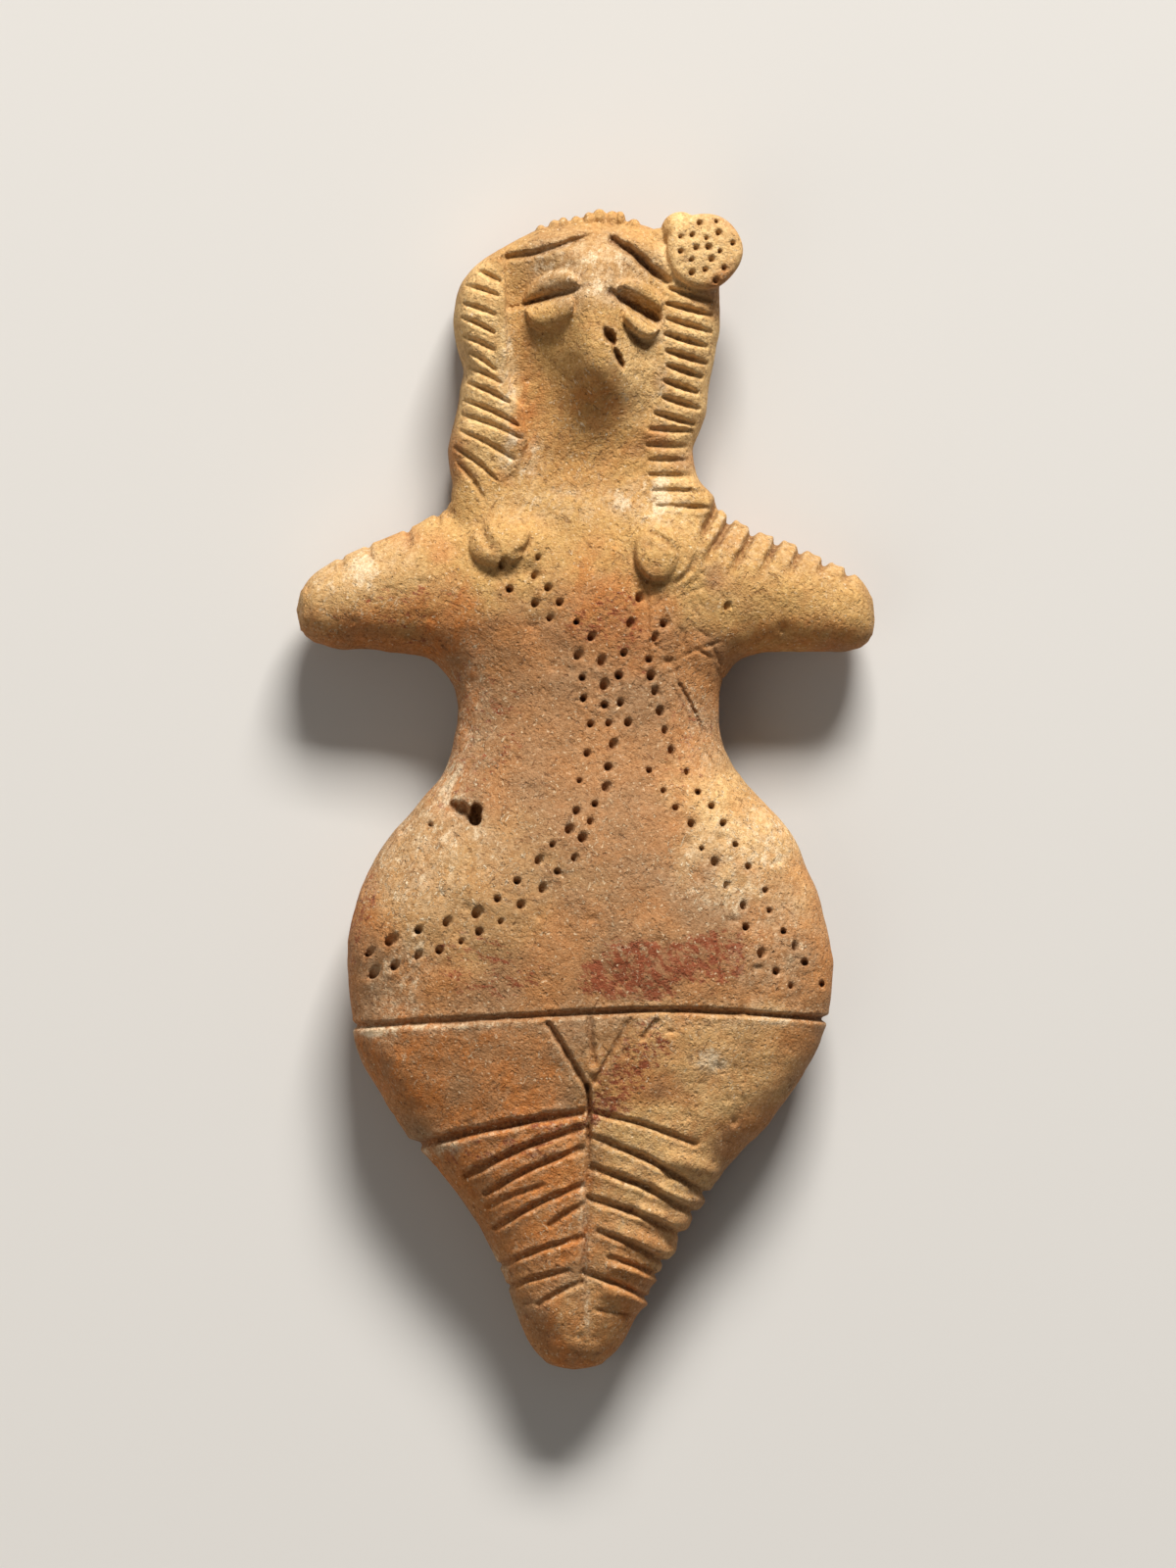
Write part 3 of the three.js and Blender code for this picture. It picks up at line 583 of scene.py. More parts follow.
# Each breast is a pellet on a wider, softer one; the last pellet marks the point of the triangle.
pellet(-9.7, 31, 5, 3.6, 10, 1.3, 0.9)
pellet(-10.8, 30.9, 3.9, 2.9, 14, 1.5, 0.25)
pellet(10, 30.4, 4.4, 4.6, 0, 1.0, 1.6)
pellet(8.7, 29.6, 2.9, 3.7, -8, 1.45, 0.25)
pellet(0.8, -34.7, 0.75, 0.75, 0, 0.3, 0.2)

# Crest of small lumps along the top of the head.
CREST_X = (-5.7, -4, -2.9, -1.3, 0.3, 1.6, 3.2, 4.2, 5.9, 7.5)
CREST_RISE = curve([
    (-8, 68.6), (-5, 69.7), (-2, 70.6), (0.4, 71.3), (2.4, 71.4), (4.4, 71.1), (6, 70.2), (8, 68.9),
])
for bead_x in CREST_X:
    size = rng.uniform(0.65, 0.92)
    bead_y = float(CREST_RISE(bead_x)) + rng.uniform(-0.2, 0.25)
    cuts, x, y, z = window(bead_x - 3, bead_x + 3, bead_y - 3, bead_y + 3, 3, 15)
    join(cuts, ellipsoid(x, y, z, (bead_x, bead_y, rng.uniform(8.4, 9.6)), (size, 1.15, 1.8)), 0.2)

# Disc in the hair, with two small lobes tucked behind its upper left. It is a little out of round.
DISC_X, DISC_Y, DISC_RADIUS = 14.65, 67.3, 4.75
DISC_LOW, DISC_HIGH, DISC_EDGE = 8.6, 14.2, 1.1
cuts, x, y, z = window(8, 21, 60, 74, 6, 17)
join(cuts, ellipsoid(x, y, z, (11.6, 70.1, 11.2), (2.3, 2.1, 2.5), 20), 0.3)
join(cuts, ellipsoid(x, y, z, (9, 69, 10.4), (1.3, 1.2, 1.8)), 0.4)
angle = np.arctan2(y - DISC_Y, x - DISC_X)
radius = DISC_RADIUS * (1 + 0.018 * np.sin(3 * angle + 0.6) + 0.012 * np.sin(5 * angle + 2))
face_tilt = 0.03 * (x - DISC_X) + 0.12 * (y - DISC_Y)
radial = np.hypot(x - DISC_X, y - DISC_Y)
dome = 0.5 * np.clip(1 - (radial / DISC_RADIUS) ** 2, 0, 1)
middle_z, half_z = (DISC_LOW + DISC_HIGH) / 2, (DISC_HIGH - DISC_LOW) / 2
qr = radial - radius + DISC_EDGE
qz = np.abs(z + face_tilt - dome - middle_z) - half_z + DISC_EDGE
disc = np.hypot(np.maximum(qr, 0), np.maximum(qz, 0)) + np.minimum(np.maximum(qr, qz), 0) - DISC_EDGE
join(cuts, disc.astype(np.float32), 0.18)

# ---- Cuts made after the pellets went on ----

# Upper and lower lids, left then right.
lid(late_relief, (-7.7, 60.9), (-0.9, 62.9), 2.7, 0.6, 1.6, 0.34, 0.6)
lid(late_relief, (-7.7, 60.2), (-1.9, 61.8), -3.7, 0.44, 1.6, 0.3, 0.75)
lid(late_relief, (3.9, 62.7), (9.2, 59.9), 2.1, 0.5, 1.6, 0.33)
lid(late_relief, (5, 59.9), (9.1, 57.6), -2.3, 0.55, 2, 0.3, 0.6)
# The rim under the right lower lid, the slits of the eyes, and the two nostrils.
lid_rim = [(4.6, 59.3), (5.5, 57.2), (7.2, 55.5), (8.9, 55.8)]
upper_nostril = [(2.2, 57.6), (3, 56.3), (3.6, 55.4)]
lower_nostril = [(3.2, 55.4), (4, 53.8), (4.7, 52.2)]
groove(late_relief, lid_rim, 0.45, 0.7, start=0.2, end=0.3, lip=0)
groove(late_relief, LEFT_SLIT, 0.26, 0.7, start=0.6, end=0.5, lip=0, smooth=False)
groove(late_relief, RIGHT_SLIT, 0.5, 1.3, start=0.7, end=0.9, lip=0, smooth=False)
groove(late_relief, upper_nostril, 0.6, 1.9, start=0.3, end=0.4, lip=0.1, taper=0.75)
groove(late_relief, lower_nostril, 0.38, 1.5, start=0.4, end=0.1, lip=0.1, taper=0.7)
# Creases on and round the breasts.
groove(late_relief, [(-13.2, 33.1), (-12.6, 31.4), (-11.4, 29.9)], 0.6, 0.5, start=0.4, end=0.2)
groove(late_relief, [(7.7, 32.4), (9.4, 31.4), (11.2, 29.9)], 0.4, 0.5, start=0.3, end=0.4)
groove(late_relief, [(11.4, 26), (13, 27.6), (13.9, 29.8)], 0.35, 0.4, start=0.5, end=0.2)
groove(late_relief, [(-9, 29.4), (-7.6, 30.2), (-6.9, 31.8)], 0.4, 0.35, start=0.4, end=0.2)
under_right = [(5.8, 30.6), (6, 28.4), (7.4, 26.4), (9.6, 25.8), (12, 26.4)]
groove(late_relief, under_right, 0.4, 0.3, start=0.3, end=0.3)
field += late_relief[:, :, None] * front

# A kidney-shaped hollow on the left hip: overlapping pits, as (x, y, radius, depth).
HOLLOW = (
    (-16.5, -1.9, 0.8, 0.7), (-15.7, -2.3, 1, 0.8), (-14.7, -3.1, 1, 1), (-13.9, -3.6, 0.85, 1.7),
    (-13.7, -2.4, 0.75, 2.8),
)


def nearby(px, py, reach):
    """Slices of the plan maps round a point."""
    i = slice(max(0, int((px - LOW[0] - reach) / STEP)), int((px - LOW[0] + reach) / STEP))
    j = slice(max(0, int((py - LOW[1] - reach) / STEP)), int((py - LOW[1] + reach) / STEP))
    return i, j


def pit(px, py, radius, deep, lean=(0.0, 0.0), blend=0.2, tip=0.45, rim=0.0):
    """A hole pressed by a round point that leans as it goes in. The point is tip times as wide at its end,
    and rim is how far it pushes clay up at its lower left."""
    top = skin_height(px, py)
    if top is None:
        return
    if rim:
        i, j = nearby(px, py, 3)
        ring = np.hypot(PX[i] - px + 0.25, PY[:, j] - py + 0.3)
        field[i, j] -= (rim * np.exp(-(((ring - 1.3 * radius) / 0.35) ** 2)))[:, :, None] * front[0]
    start = np.array([px - lean[0] * deep * 0.5, py - lean[1] * deep * 0.5, top - deep])
    direction = np.array([lean[0], lean[1], 1.0])
    length = (deep + 1.5) * np.linalg.norm(direction)
    direction /= np.linalg.norm(direction)
    reach = radius + deep * max(abs(lean[0]), abs(lean[1])) + 1.5
    cuts, x, y, z = window(px - reach, px + reach, py - reach, py + reach, top - deep - 1.5, top + 2.2)
    dx, dy, dz = x - start[0], y - start[1], z - start[2]
    t = np.clip((dx * direction[0] + dy * direction[1] + dz * direction[2]) / length, 0, 1)
    offsets = [d - t * length * along for d, along in zip((dx, dy, dz), direction)]
    gap = np.sqrt(offsets[0] ** 2 + offsets[1] ** 2 + offsets[2] ** 2)
    wide = radius * (tip + (1 - tip) * np.clip(t * length / deep, 0, 1.3))
    carve(cuts, (gap - wide).astype(np.float32), blend)
    # The hole is darkened with painted shade.
    near = np.hypot(PX - px, PY - py)
    np.maximum(pit_shade, 0.6 * np.exp(-((near / (radius * 1.1)) ** 4)), out=pit_shade)


for lobe in HOLLOW:
    pit(*lobe, blend=0.35, tip=0.85)
pit(-19.5, -4.3, 0.42, 0.9)

# Stray pricks under and beside the breasts.
pit(-10.6, 28, 0.5, 1.1, (0.3, 0.3), 0.12, rim=0.1)
pit(-6.1, 28.9, 0.42, 0.9, (0.2, 0.3), 0.12, rim=0.1)
pit(17.4, 22.8, 0.45, 0.7, (0.6, 0.6), 0.2)

# Double rows of pricked holes: (line, spacing of one row, spacing of the other, distance between the rows).
BAND_LEFT = [
    (-9.4, 26.6), (-4.6, 22.6), (-1.1, 18.6), (0.8, 14), (1.2, 9.9), (1.5, 5.5), (0.6, 0.6),
    (-1.6, -5.4), (-5.2, -10), (-9.1, -13.8), (-13.8, -16.6), (-19.5, -18.8), (-24.4, -20.6),
    (-28.6, -22.4),
]
BAND_RIGHT = [
    (8.6, 23.5), (6.4, 17.9), (6, 12.8), (7, 8.5), (8.6, 4.8), (11.1, 1.3), (13.5, -2.3), (15.4, -5.4),
    (18, -9.4), (20, -13), (21.6, -16.8), (23.6, -20.2), (26, -22.8), (28.4, -25.2),
]
BANDS = ((BAND_LEFT, 3.3, 2.75, 2.7), (BAND_RIGHT, 3.0, 2.9, 3.6))
# Most holes lean a little, some lean far, and a few are left out.
SLIGHT_LEAN_SHARE = 0.65
HOLE_SHARE = 0.94
for line, pitch_a, pitch_b, gap in BANDS:
    run = rounded(line, 12)
    spans = np.hypot(*(run[1:] - run[:-1]).T)
    at = np.concatenate([[0], np.cumsum(spans)])
    for row, pitch in ((-0.5, pitch_a), (0.5, pitch_b)):
        here = 0.8 + (pitch * 0.5 if row > 0 else 0)
        while here < at[-1]:
            px, py = np.interp(here, at, run[:, 0]), np.interp(here, at, run[:, 1])
            qx, qy = np.interp(here + 0.5, at, run[:, 0]), np.interp(here + 0.5, at, run[:, 1])
            tx, ty = np.array([qx - px, qy - py]) / (math.hypot(qx - px, qy - py) + 1e-6)
            off = row * gap + rng.normal(0, 0.26)
            slight = rng.random() < SLIGHT_LEAN_SHARE
            slant = rng.uniform(0.05, 0.5) if slight else rng.uniform(0.6, 0.85)
            lean = (slant * rng.uniform(0.5, 1), slant)
            if rng.random() < HOLE_SHARE:
                radius, deep = rng.uniform(0.38, 0.6), rng.uniform(1.0, 1.7)
                pit(px - ty * off, py + tx * off, radius, deep, lean, 0.12, rim=0.12)
            here += pitch * rng.uniform(0.78, 1.22)

# Holes in the disc follow a sunflower spread, each turned from the last by the golden angle.
DISC_HOLES = 17
DISC_HOLES_REACH = 4.0
GOLDEN_ANGLE = 2.39996
for i in range(DISC_HOLES):
    turn = i * GOLDEN_ANGLE + 0.5
    out = DISC_HOLES_REACH * math.sqrt((i + 0.4) / DISC_HOLES)
    px = DISC_X + out * math.cos(turn) + rng.normal(0, 0.15)
    py = DISC_Y + out * math.sin(turn) + rng.normal(0, 0.15)
    pit(px, py, rng.uniform(0.34, 0.52), rng.uniform(0.8, 1.2), (0.25, 0.2), 0.1)

# Small pits and chips over the front.
CHIPS = 150
for _ in range(CHIPS):
    px, py = rng.uniform(-34, 34), rng.uniform(-70, 66)
    if skin_height(px, py) is not None:
        deep = rng.uniform(0.12, 0.4)
        distance = np.hypot((PX - px) / rng.uniform(0.3, 0.75), (PY - py) / rng.uniform(0.3, 0.6))
        i, j = nearby(px, py, 3)
        field[i, j] += (deep * np.exp(-(distance[i, j] ** 2)))[:, :, None] * front[0]

# The back is pressed flat on the ground.
np.maximum(field, -AXES[2][None, None, :], out=field)

# ---- The skin of the field ----

CORNERS = [(i, j, k) for i in (0, 1) for j in (0, 1) for k in (0, 1)]
# Value given to a filled sample, just inside the clay, and how often the three planes are gone through.
FILL = -0.01
FILL_ROUNDS = 3


def fill_pinches(values):
    """Fills the diagonal gaps between samples that would pinch the skin to a line."""
    ends = (slice(0, -1), slice(1, None))
    for u, v in ((0, 1), (0, 2), (1, 2)) * FILL_ROUNDS:
        part = {}
        for i in (0, 1):
            for j in (0, 1):
                cut = [slice(None)] * 3
                cut[u], cut[v] = ends[i], ends[j]
                part[i, j] = values[tuple(cut)]
        part[1, 0][(part[0, 0] < 0) & (part[1, 1] < 0) & (part[1, 0] >= 0) & (part[0, 1] >= 0)] = FILL
        part[0, 0][(part[1, 0] < 0) & (part[0, 1] < 0) & (part[0, 0] >= 0) & (part[1, 1] >= 0)] = FILL


def surface(values):
    """One vertex in each cell that the surface crosses, and one face across each grid edge it crosses."""
    nx, ny, nz = values.shape
    inside = values < 0
    filled = np.zeros((nx - 1, ny - 1, nz - 1), np.uint8)
    for i, j, k in CORNERS:
        filled += inside[i:nx - 1 + i, j:ny - 1 + j, k:nz - 1 + k]
    mixed = (filled > 0) & (filled < 8)
    cells = np.argwhere(mixed)
    number = np.full(mixed.shape, -1, np.int32)
    number[mixed] = np.arange(len(cells), dtype=np.int32)
    at = {c: values[cells[:, 0] + c[0], cells[:, 1] + c[1], cells[:, 2] + c[2]] for c in CORNERS}
    total = np.zeros((len(cells), 3))
    crossings = np.zeros(len(cells))
    for a in CORNERS:
        for axis in range(3):
            if a[axis]:
                continue
            b = tuple(v + (1 if n == axis else 0) for n, v in enumerate(a))
            va, vb = at[a], at[b]
            cross = (va < 0) != (vb < 0)
            t = np.where(cross, va / np.where(cross, va - vb, 1), 0)
            point = np.tile(np.array(a, float), (len(cells), 1))
            point[:, axis] += t
            total += point * cross[:, None]
            crossings += cross
    vertices = LOW + STEP * (cells + total / crossings[:, None])
    faces = []
    for axis in range(3):
        u, v = (axis + 1) % 3, (axis + 2) % 3
        first = [slice(None)] * 3
        second = [slice(None)] * 3
        first[axis], second[axis] = slice(0, -1), slice(1, None)
        change = inside[tuple(first)] != inside[tuple(second)]
        edges = np.argwhere(change)
        keep = (edges[:, u] > 0) & (edges[:, v] > 0)
        keep &= (edges[:, u] < mixed.shape[u]) & (edges[:, v] < mixed.shape[v])
        edges = edges[keep]
        around = []
        for du, dv in ((-1, -1), (0, -1), (0, 0), (-1, 0)):
            cell = edges.copy()
            cell[:, u] += du
            cell[:, v] += dv
            around.append(number[cell[:, 0], cell[:, 1], cell[:, 2]])
        quad = np.stack(around, axis=1)
        outward = inside[edges[:, 0], edges[:, 1], edges[:, 2]]
        quad[~outward] = quad[~outward][:, ::-1]
        faces.append(quad)
    return vertices, np.concatenate(faces)


fill_pinches(field)
vertices, faces = surface(field)
low_now, high_now = vertices.min(axis=0), vertices.max(axis=0)
middle = (low_now + high_now) / 2
box_middle = (np.array(low_corner) + np.array(high_corner)) / 2
shift = np.array([middle[0], middle[1], low_now[2]])
place = np.array([box_middle[0], box_middle[1], low_corner[2]])
points = (vertices - shift) * UNIT + place

mesh = bpy.data.meshes.new("clay_skin")
mesh.vertices.add(len(points))
mesh.vertices.foreach_set("co", points.astype(np.float32).ravel())
mesh.loops.add(faces.size)
mesh.loops.foreach_set("vertex_index", faces.astype(np.int32).ravel())
mesh.polygons.add(len(faces))
mesh.polygons.foreach_set("loop_start", np.arange(0, faces.size, 4, dtype=np.int32))
mesh.update(calc_edges=True)
mesh.validate()
figurine = bpy.data.objects.new("clay_body", mesh)
bpy.context.collection.objects.link(figurine)

triangles = 2 * len(faces)
thin = figurine.modifiers.new("thin", "DECIMATE")
thin.ratio = min(1.0, FACE_LIMIT / triangles)
thinned = figurine.evaluated_get(bpy.context.evaluated_depsgraph_get())
applied = bpy.data.meshes.new_from_object(thinned)
figurine.modifiers.clear()
figurine.data = applied
bpy.data.meshes.remove(mesh)
mesh = applied
mesh.name = "clay_body"
mesh.polygons.foreach_set("use_smooth", np.ones(len(mesh.polygons), bool))

# ---- Colour maps carried on the skin ----

RAGGED = 0.16 * cloud(5, 21) + 0.1 * cloud(2.2, 22)


def blob(cx, cy, rx, ry, turn=0.0, edge=0.35):
    """Soft patch of plan, 1 inside and 0 outside, with a ragged border."""
    c, s = math.cos(math.radians(turn)), math.sin(math.radians(turn))
    a = ((PX - cx) * c + (PY - cy) * s) / rx
    b = ((PY - cy) * c - (PX - cx) * s) / ry
    return smoothstep(1 + edge, 1 - edge, np.sqrt(a * a + b * b) + RAGGED)


def patches(rows):
    """Sum of soft patches, held between 0 and 1."""
    total = np.zeros_like(relief)
    for strength, *shape in rows:
        total += strength * blob(*shape)
    return np.clip(total, 0, 1)


# Painted shade darkens the cuts and holes, and pale dust lies beside them.
cut_depth = np.clip(relief + late_relief - eye_facet + ridge - valley, 0, 1.2)
cut_shade = np.clip(1.1 * cut_depth + pit_shade, 0, 1)
edge_dust = np.clip(softened(cut_shade, 0.8).astype(np.float32) * 2.2 - cut_shade, 0, 1)

# Where each colour lies: (strength, x, y, half width, half length), then turn in degrees and softness of
# the edge where they aren't 0 and 0.35.
YELLOW_PATCHES = (
    (1, 0, 58, 24, 18), (1, 0, 33, 30, 9), (1, 28, 25, 12, 8), (1, -28, 26, 12, 6),
    (0.3, 5, -48, 8, 18), (0.6, -14, -12, 12, 9), (0.5, 20, -2, 9, 9), (0.25, 14, -34, 16, 7),
    # The patch at (7, 52) is painted light on the slope right of the nose, which lies in shade.
    (0.5, 9, -44, 8, 8, -30), (0.6, 7, 52, 3, 7),
)
RED_PATCHES = (
    (0.55, 2.5, 21.5, 4.5, 5.5, 20), (0.74, 11.5, -21, 10.5, 3.8, 8), (0.55, 3, -23.8, 4.5, 2.2),
    (0.72, 6, -35, 6, 5, 40), (0.15, 8, -23, 12, 5), (0.6, -29, -14, 3, 14, -8), (0.5, -12, -22, 8, 4),
    (0.45, -25, 22, 8, 4), (0.5, -9, -43.5, 10, 3, 14), (0.3, -9, 52, 1.5, 9), (0.45, -14, 6, 6, 9),
    (0.4, 12, 4, 6, 8),
)
CRUST_PATCHES = (
    (0.5, -21, -7, 9, 9, 30), (0.5, -24, -24, 5, 6), (0.5, 9.3, 52, 1.2, 14), (0.6, -9.8, 52, 0.9, 9),
    (0.5, 9, 36, 4, 3), (0.5, -8, 41, 3, 3), (0.4, -4, 36, 6, 2.5), (0.5, 21, -6, 6, 10, -50),
    (0.35, 15, 5, 4, 7), (0.4, -15, 9, 3, 8), (0.4, 24, -20, 5, 9), (0.55, 1, 65, 7, 4),
    (0.55, -0.3, -55, 0.5, 11, 2), (0.7, -18, -44.6, 3.5, 0.9, 8), (0.6, -12, -61, 3, 6, 20),
    (0.6, -22, -29.7, 10, 0.7, 3), (0.35, 12, -29, 16, 0.7), (0.45, -31, 27, 5, 4, 30),
    (0.4, -25, 29, 5, 2.5, 25), (0.9, 15.4, -33.6, 2.4, 1.4),
)
DRAB_PATCHES = (
    (0.75, 0, 4, 17, 16), (0.6, -8, -16, 18, 9), (0.7, 10, -10, 14, 9), (0.35, -8, -31, 16, 6),
    (0.75, 0, 66, 9, 5), (0.9, -16, -35, 12, 7), (0.9, -15.5, 8, 4, 9), (0.45, -28, 25, 10, 7, 25),
    (0.4, 0, -68, 7, 4), (0.45, -19, -5, 8, 6, 40), (0.6, 10, -22, 12, 6, 8), (0.4, 27, 30, 9, 3, -26),
)
CREAM_PATCHES = (
    (1, -13, 55, 3.5, 13), (0.9, 13, 52, 4, 14), (0.9, 14.6, 67.3, 5, 5), (0.25, -27, 28, 11, 5, 30),
    (0.32, 22, -8, 10, 5, -50), (0.1, -20, -9, 9, 9), (0.3, 14, 1, 6, 5), (0.3, 0, -66, 4, 5),
    # The patch at (6.8, 52) is painted light on the slope right of the nose, which lies in shade; the one
    # at (16, -34) is partly painted light on the shaded slope below the right waist, partly the paler tone
    # of the clay there.
    (0.6, 16, -34, 11, 6), (0.55, 9, -47, 7, 11), (0.7, 6.8, 52, 2.4, 6), (0.3, 18, -2, 8, 8),
)
RUST_PATCHES = (
    (0.4, -7.9, 53, 2.2, 9), (0.3, -1, 44, 9, 7), (0.3, 2, 49.5, 3.5, 3), (0.6, 14, -36, 12, 7),
    (0.75, 2.5, 23.5, 5.5, 6.5, 20, 0.5), (1, -11, -47, 12, 13, 20), (0.5, 7, -54, 9, 13, -20),
    (0.9, -22, -34, 7, 7), (0.7, -26, 20, 11, 3.6), (0.6, 27, 18.5, 9, 3), (0.6, -17, 12, 3, 14),
    (0.5, -29, -16, 3, 14), (1, 0, -70, 8, 6),
)
FLECK_PATCHES = (
    (0.9, -15, 8, 5, 11), (1.3, -20, -8, 11, 10), (0.7, 14, 8, 4, 8), (1, 19, -5, 9, 10),
    (0.5, -30, 24, 6, 5), (0.3, 0, 38, 12, 4), (0.4, 0, -10, 14, 9), (0.5, 14, -33, 12, 5),
    (0.4, 0, -60, 10, 9), (0.9, 1.5, 48.5, 5, 5), (0.35, -12, -33, 14, 6),
)

co = np.empty(len(mesh.vertices) * 3, np.float32)
mesh.vertices.foreach_get("co", co)
co = (co.reshape(-1, 3) - place) / UNIT + shift
fi = np.clip((co[:, 0] - LOW[0]) / STEP, 0, COUNT[0] - 1.001)
fj = np.clip((co[:, 1] - LOW[1]) / STEP, 0, COUNT[1] - 1.001)
i0, j0 = fi.astype(int), fj.astype(int)
ti, tj = fi - i0, fj - j0
# Only the front carries the maps.
facing = smoothstep(2.0, 6.0, co[:, 2])


def carried(values):
    """A plan map read off at each vertex of the skin."""
    a = values[i0, j0] * (1 - ti) + values[i0 + 1, j0] * ti
    b = values[i0, j0 + 1] * (1 - ti) + values[i0 + 1, j0 + 1] * ti
    return (a * (1 - tj) + b * tj) * facing


def attribute(name, *channels):
    """Stores up to three channels of values on the skin as one colour attribute."""
    layer = mesh.attributes.new(name, "FLOAT_COLOR", "POINT")
    data = np.ones((len(mesh.vertices), 4), np.float32)
    for n, channel in enumerate(channels):
        data[:, n] = channel
    layer.data.foreach_set("color", data.ravel())


def zone(rows):
    return carried(patches(rows))


attribute("zones", zone(YELLOW_PATCHES), zone(RED_PATCHES), zone(DRAB_PATCHES))
# The first channel of marks is painted shade in the cuts and holes.
attribute("marks", carried(cut_shade), zone(CRUST_PATCHES), carried(edge_dust))
attribute("tints", zone(CREAM_PATCHES), zone(RUST_PATCHES), zone(FLECK_PATCHES))

# ---- Fired clay ----

material = bpy.data.materials.new("fired_clay")
material.use_nodes = True
tree = material.node_tree
nodes, links = tree.nodes, tree.links
nodes.clear()


def node(kind, sockets=None, **settings):
    """A shader node with its settings. Each socket is fed a value or the output of another node."""
    made = nodes.new(kind)
    for key, value in settings.items():
        setattr(made, key, value)
    for key, value in (sockets or {}).items():
        if hasattr(value, "is_output"):
            links.new(value, made.inputs[key])
        else:
            made.inputs[key].default_value = value
    return made


def noise(scale_mm, detail=3.0, rough=0.55, offset=0.0, stretch=None):
    """Noise with features this size. Stretch is how much longer they are along one way, and that way's turn
    from +Y in degrees."""
    source = coordinates
    if stretch is not None or offset:
        sockets = {"Vector": coordinates, "Location": (offset, offset * 0.7, offset * 1.3)}
        settings = {}
        if stretch is not None:
            sockets["Rotation"] = (0, 0, math.radians(stretch[1]))
            sockets["Scale"] = (1, stretch[0], 1)
            settings["vector_type"] = "TEXTURE"
        source = node("ShaderNodeMapping", sockets, **settings).outputs["Vector"]
    sockets = {"Vector": source, "Scale": 1 / (scale_mm * MM), "Detail": detail, "Roughness": rough}
    return node("ShaderNodeTexNoise", sockets).outputs["Fac"]


def ramp(value, low, high, out_low=0.0, out_high=1.0):
    sockets = {"Value": value, "From Min": low, "From Max": high, "To Min": out_low, "To Max": out_high}
    return node("ShaderNodeMapRange", sockets, interpolation_type="SMOOTHSTEP").outputs["Result"]


def math_node(operation, a, b):
    return node("ShaderNodeMath", {0: a, 1: b}, operation=operation).outputs[0]


def times(a, b):
    return math_node("MULTIPLY", a, b)


def mix(factor, a, b, blend="MIX"):
    sockets = {"Factor": factor, "A": a, "B": b}
    return node("ShaderNodeMix", sockets, data_type="RGBA", blend_type=blend).outputs["Result"]


def split(name):
    """The three channels of a colour attribute of the skin."""
    source = node("ShaderNodeAttribute", attribute_name=name)
    apart = node("ShaderNodeSeparateColor", {"Color": source.outputs["Color"]})
    return apart.outputs["Red"], apart.outputs["Green"], apart.outputs["Blue"]


def strongest(layers):
    """The strongest, at each place, of several noises, each cut off between a low and a high value."""
    best = None
    for *texture, low, high in layers:
        layer = ramp(noise(*texture), low, high)
        best = layer if best is None else math_node("MAXIMUM", best, layer)
    return best


def bump(height, distance_mm, strength, below):
    sockets = {"Strength": strength, "Distance": distance_mm * MM, "Height": height}
    if below is not None:
        sockets["Normal"] = below
    return node("ShaderNodeBump", sockets).outputs["Normal"]


coordinates = node("ShaderNodeTexCoord").outputs["Object"]
yellow_mask, red_mask, drab_mask = split("zones")
cut_shade_mask, crust_mask, dust_mask = split("marks")
cream_mask, rust_mask, fleck_mask = split("tints")

ORANGE = (0.465, 0.21, 0.07, 1)
BUFF = (0.53, 0.32, 0.115, 1)
DRAB = (0.33, 0.185, 0.088, 1)
BRICK = (0.255, 0.067, 0.026, 1)
RUST = (0.495, 0.182, 0.044, 1)
CREAM = (0.72, 0.58, 0.39, 1)
PALE = (0.72, 0.485, 0.22, 1)
DARK = (0.15, 0.056, 0.02, 1)
SHADED = (0.74, 0.64, 0.52, 1)
LIT = (1.24, 1.26, 1.3, 1)

broad = noise(9, 4, 0.55)
medium = noise(2.6, 4, 0.6, 0.013)
fine = noise(0.55, 4, 0.65, 0.027)
grit = noise(0.22, 3, 0.6, 0.041)
brush = noise(1.6, 4, 0.6, 0.055, (3.5, -24))

# The clay itself, zone by zone; some pale and yellow patches also paint light onto slopes in shade.
colour = mix(ramp(broad, 0.35, 0.65), ORANGE, DRAB)
colour = mix(times(yellow_mask, ramp(medium, 0.2, 0.6, 0.6, 1)), colour, BUFF)
colour = mix(times(drab_mask, ramp(medium, 0.3, 0.7, 0.35, 0.95)), colour, DRAB)
colour = mix(times(rust_mask, ramp(brush, 0.36, 0.64, 0.35, 1)), colour, RUST)
colour = mix(times(cream_mask, ramp(medium, 0.3, 0.65, 0.45, 1)), colour, PALE)
# Red paint, flaked and worn.
flaky = noise(1.1, 7, 0.8, 0.09, (2.1, 76))
paint = ramp(math_node("ADD", flaky, times(red_mask, 0.3)), 0.66, 0.73)
worn = ramp(noise(0.9, 5, 0.75, 0.83, (2.2, 35)), 0.48, 0.57, 0.97, 0.25)
colour = mix(times(paint, worn), colour, BRICK)
# Pale crust: a thin bloom, and chalky crumbs.
bloom = times(crust_mask, ramp(noise(0.9, 5, 0.7, 0.71, (2.6, -30)), 0.42, 0.6, 0.05, 0.5))
colour = mix(bloom, colour, CREAM)
crumbs = noise(1.3, 7, 0.75, 0.12, (1.7, -20))
chalk = ramp(math_node("ADD", crumbs, times(crust_mask, 0.34)), 0.7, 0.8)
colour = mix(times(chalk, 0.7), colour, CREAM)
# Painted shade in the cuts and holes, and dust beside them.
colour = mix(times(cut_shade_mask, ramp(fine, 0.3, 0.7, 0.35, 0.85)), colour, DARK)
dust = times(dust_mask, ramp(noise(0.8, 4, 0.7, 0.15), 0.45, 0.6))
colour = mix(times(dust, 0.55), colour, CREAM)
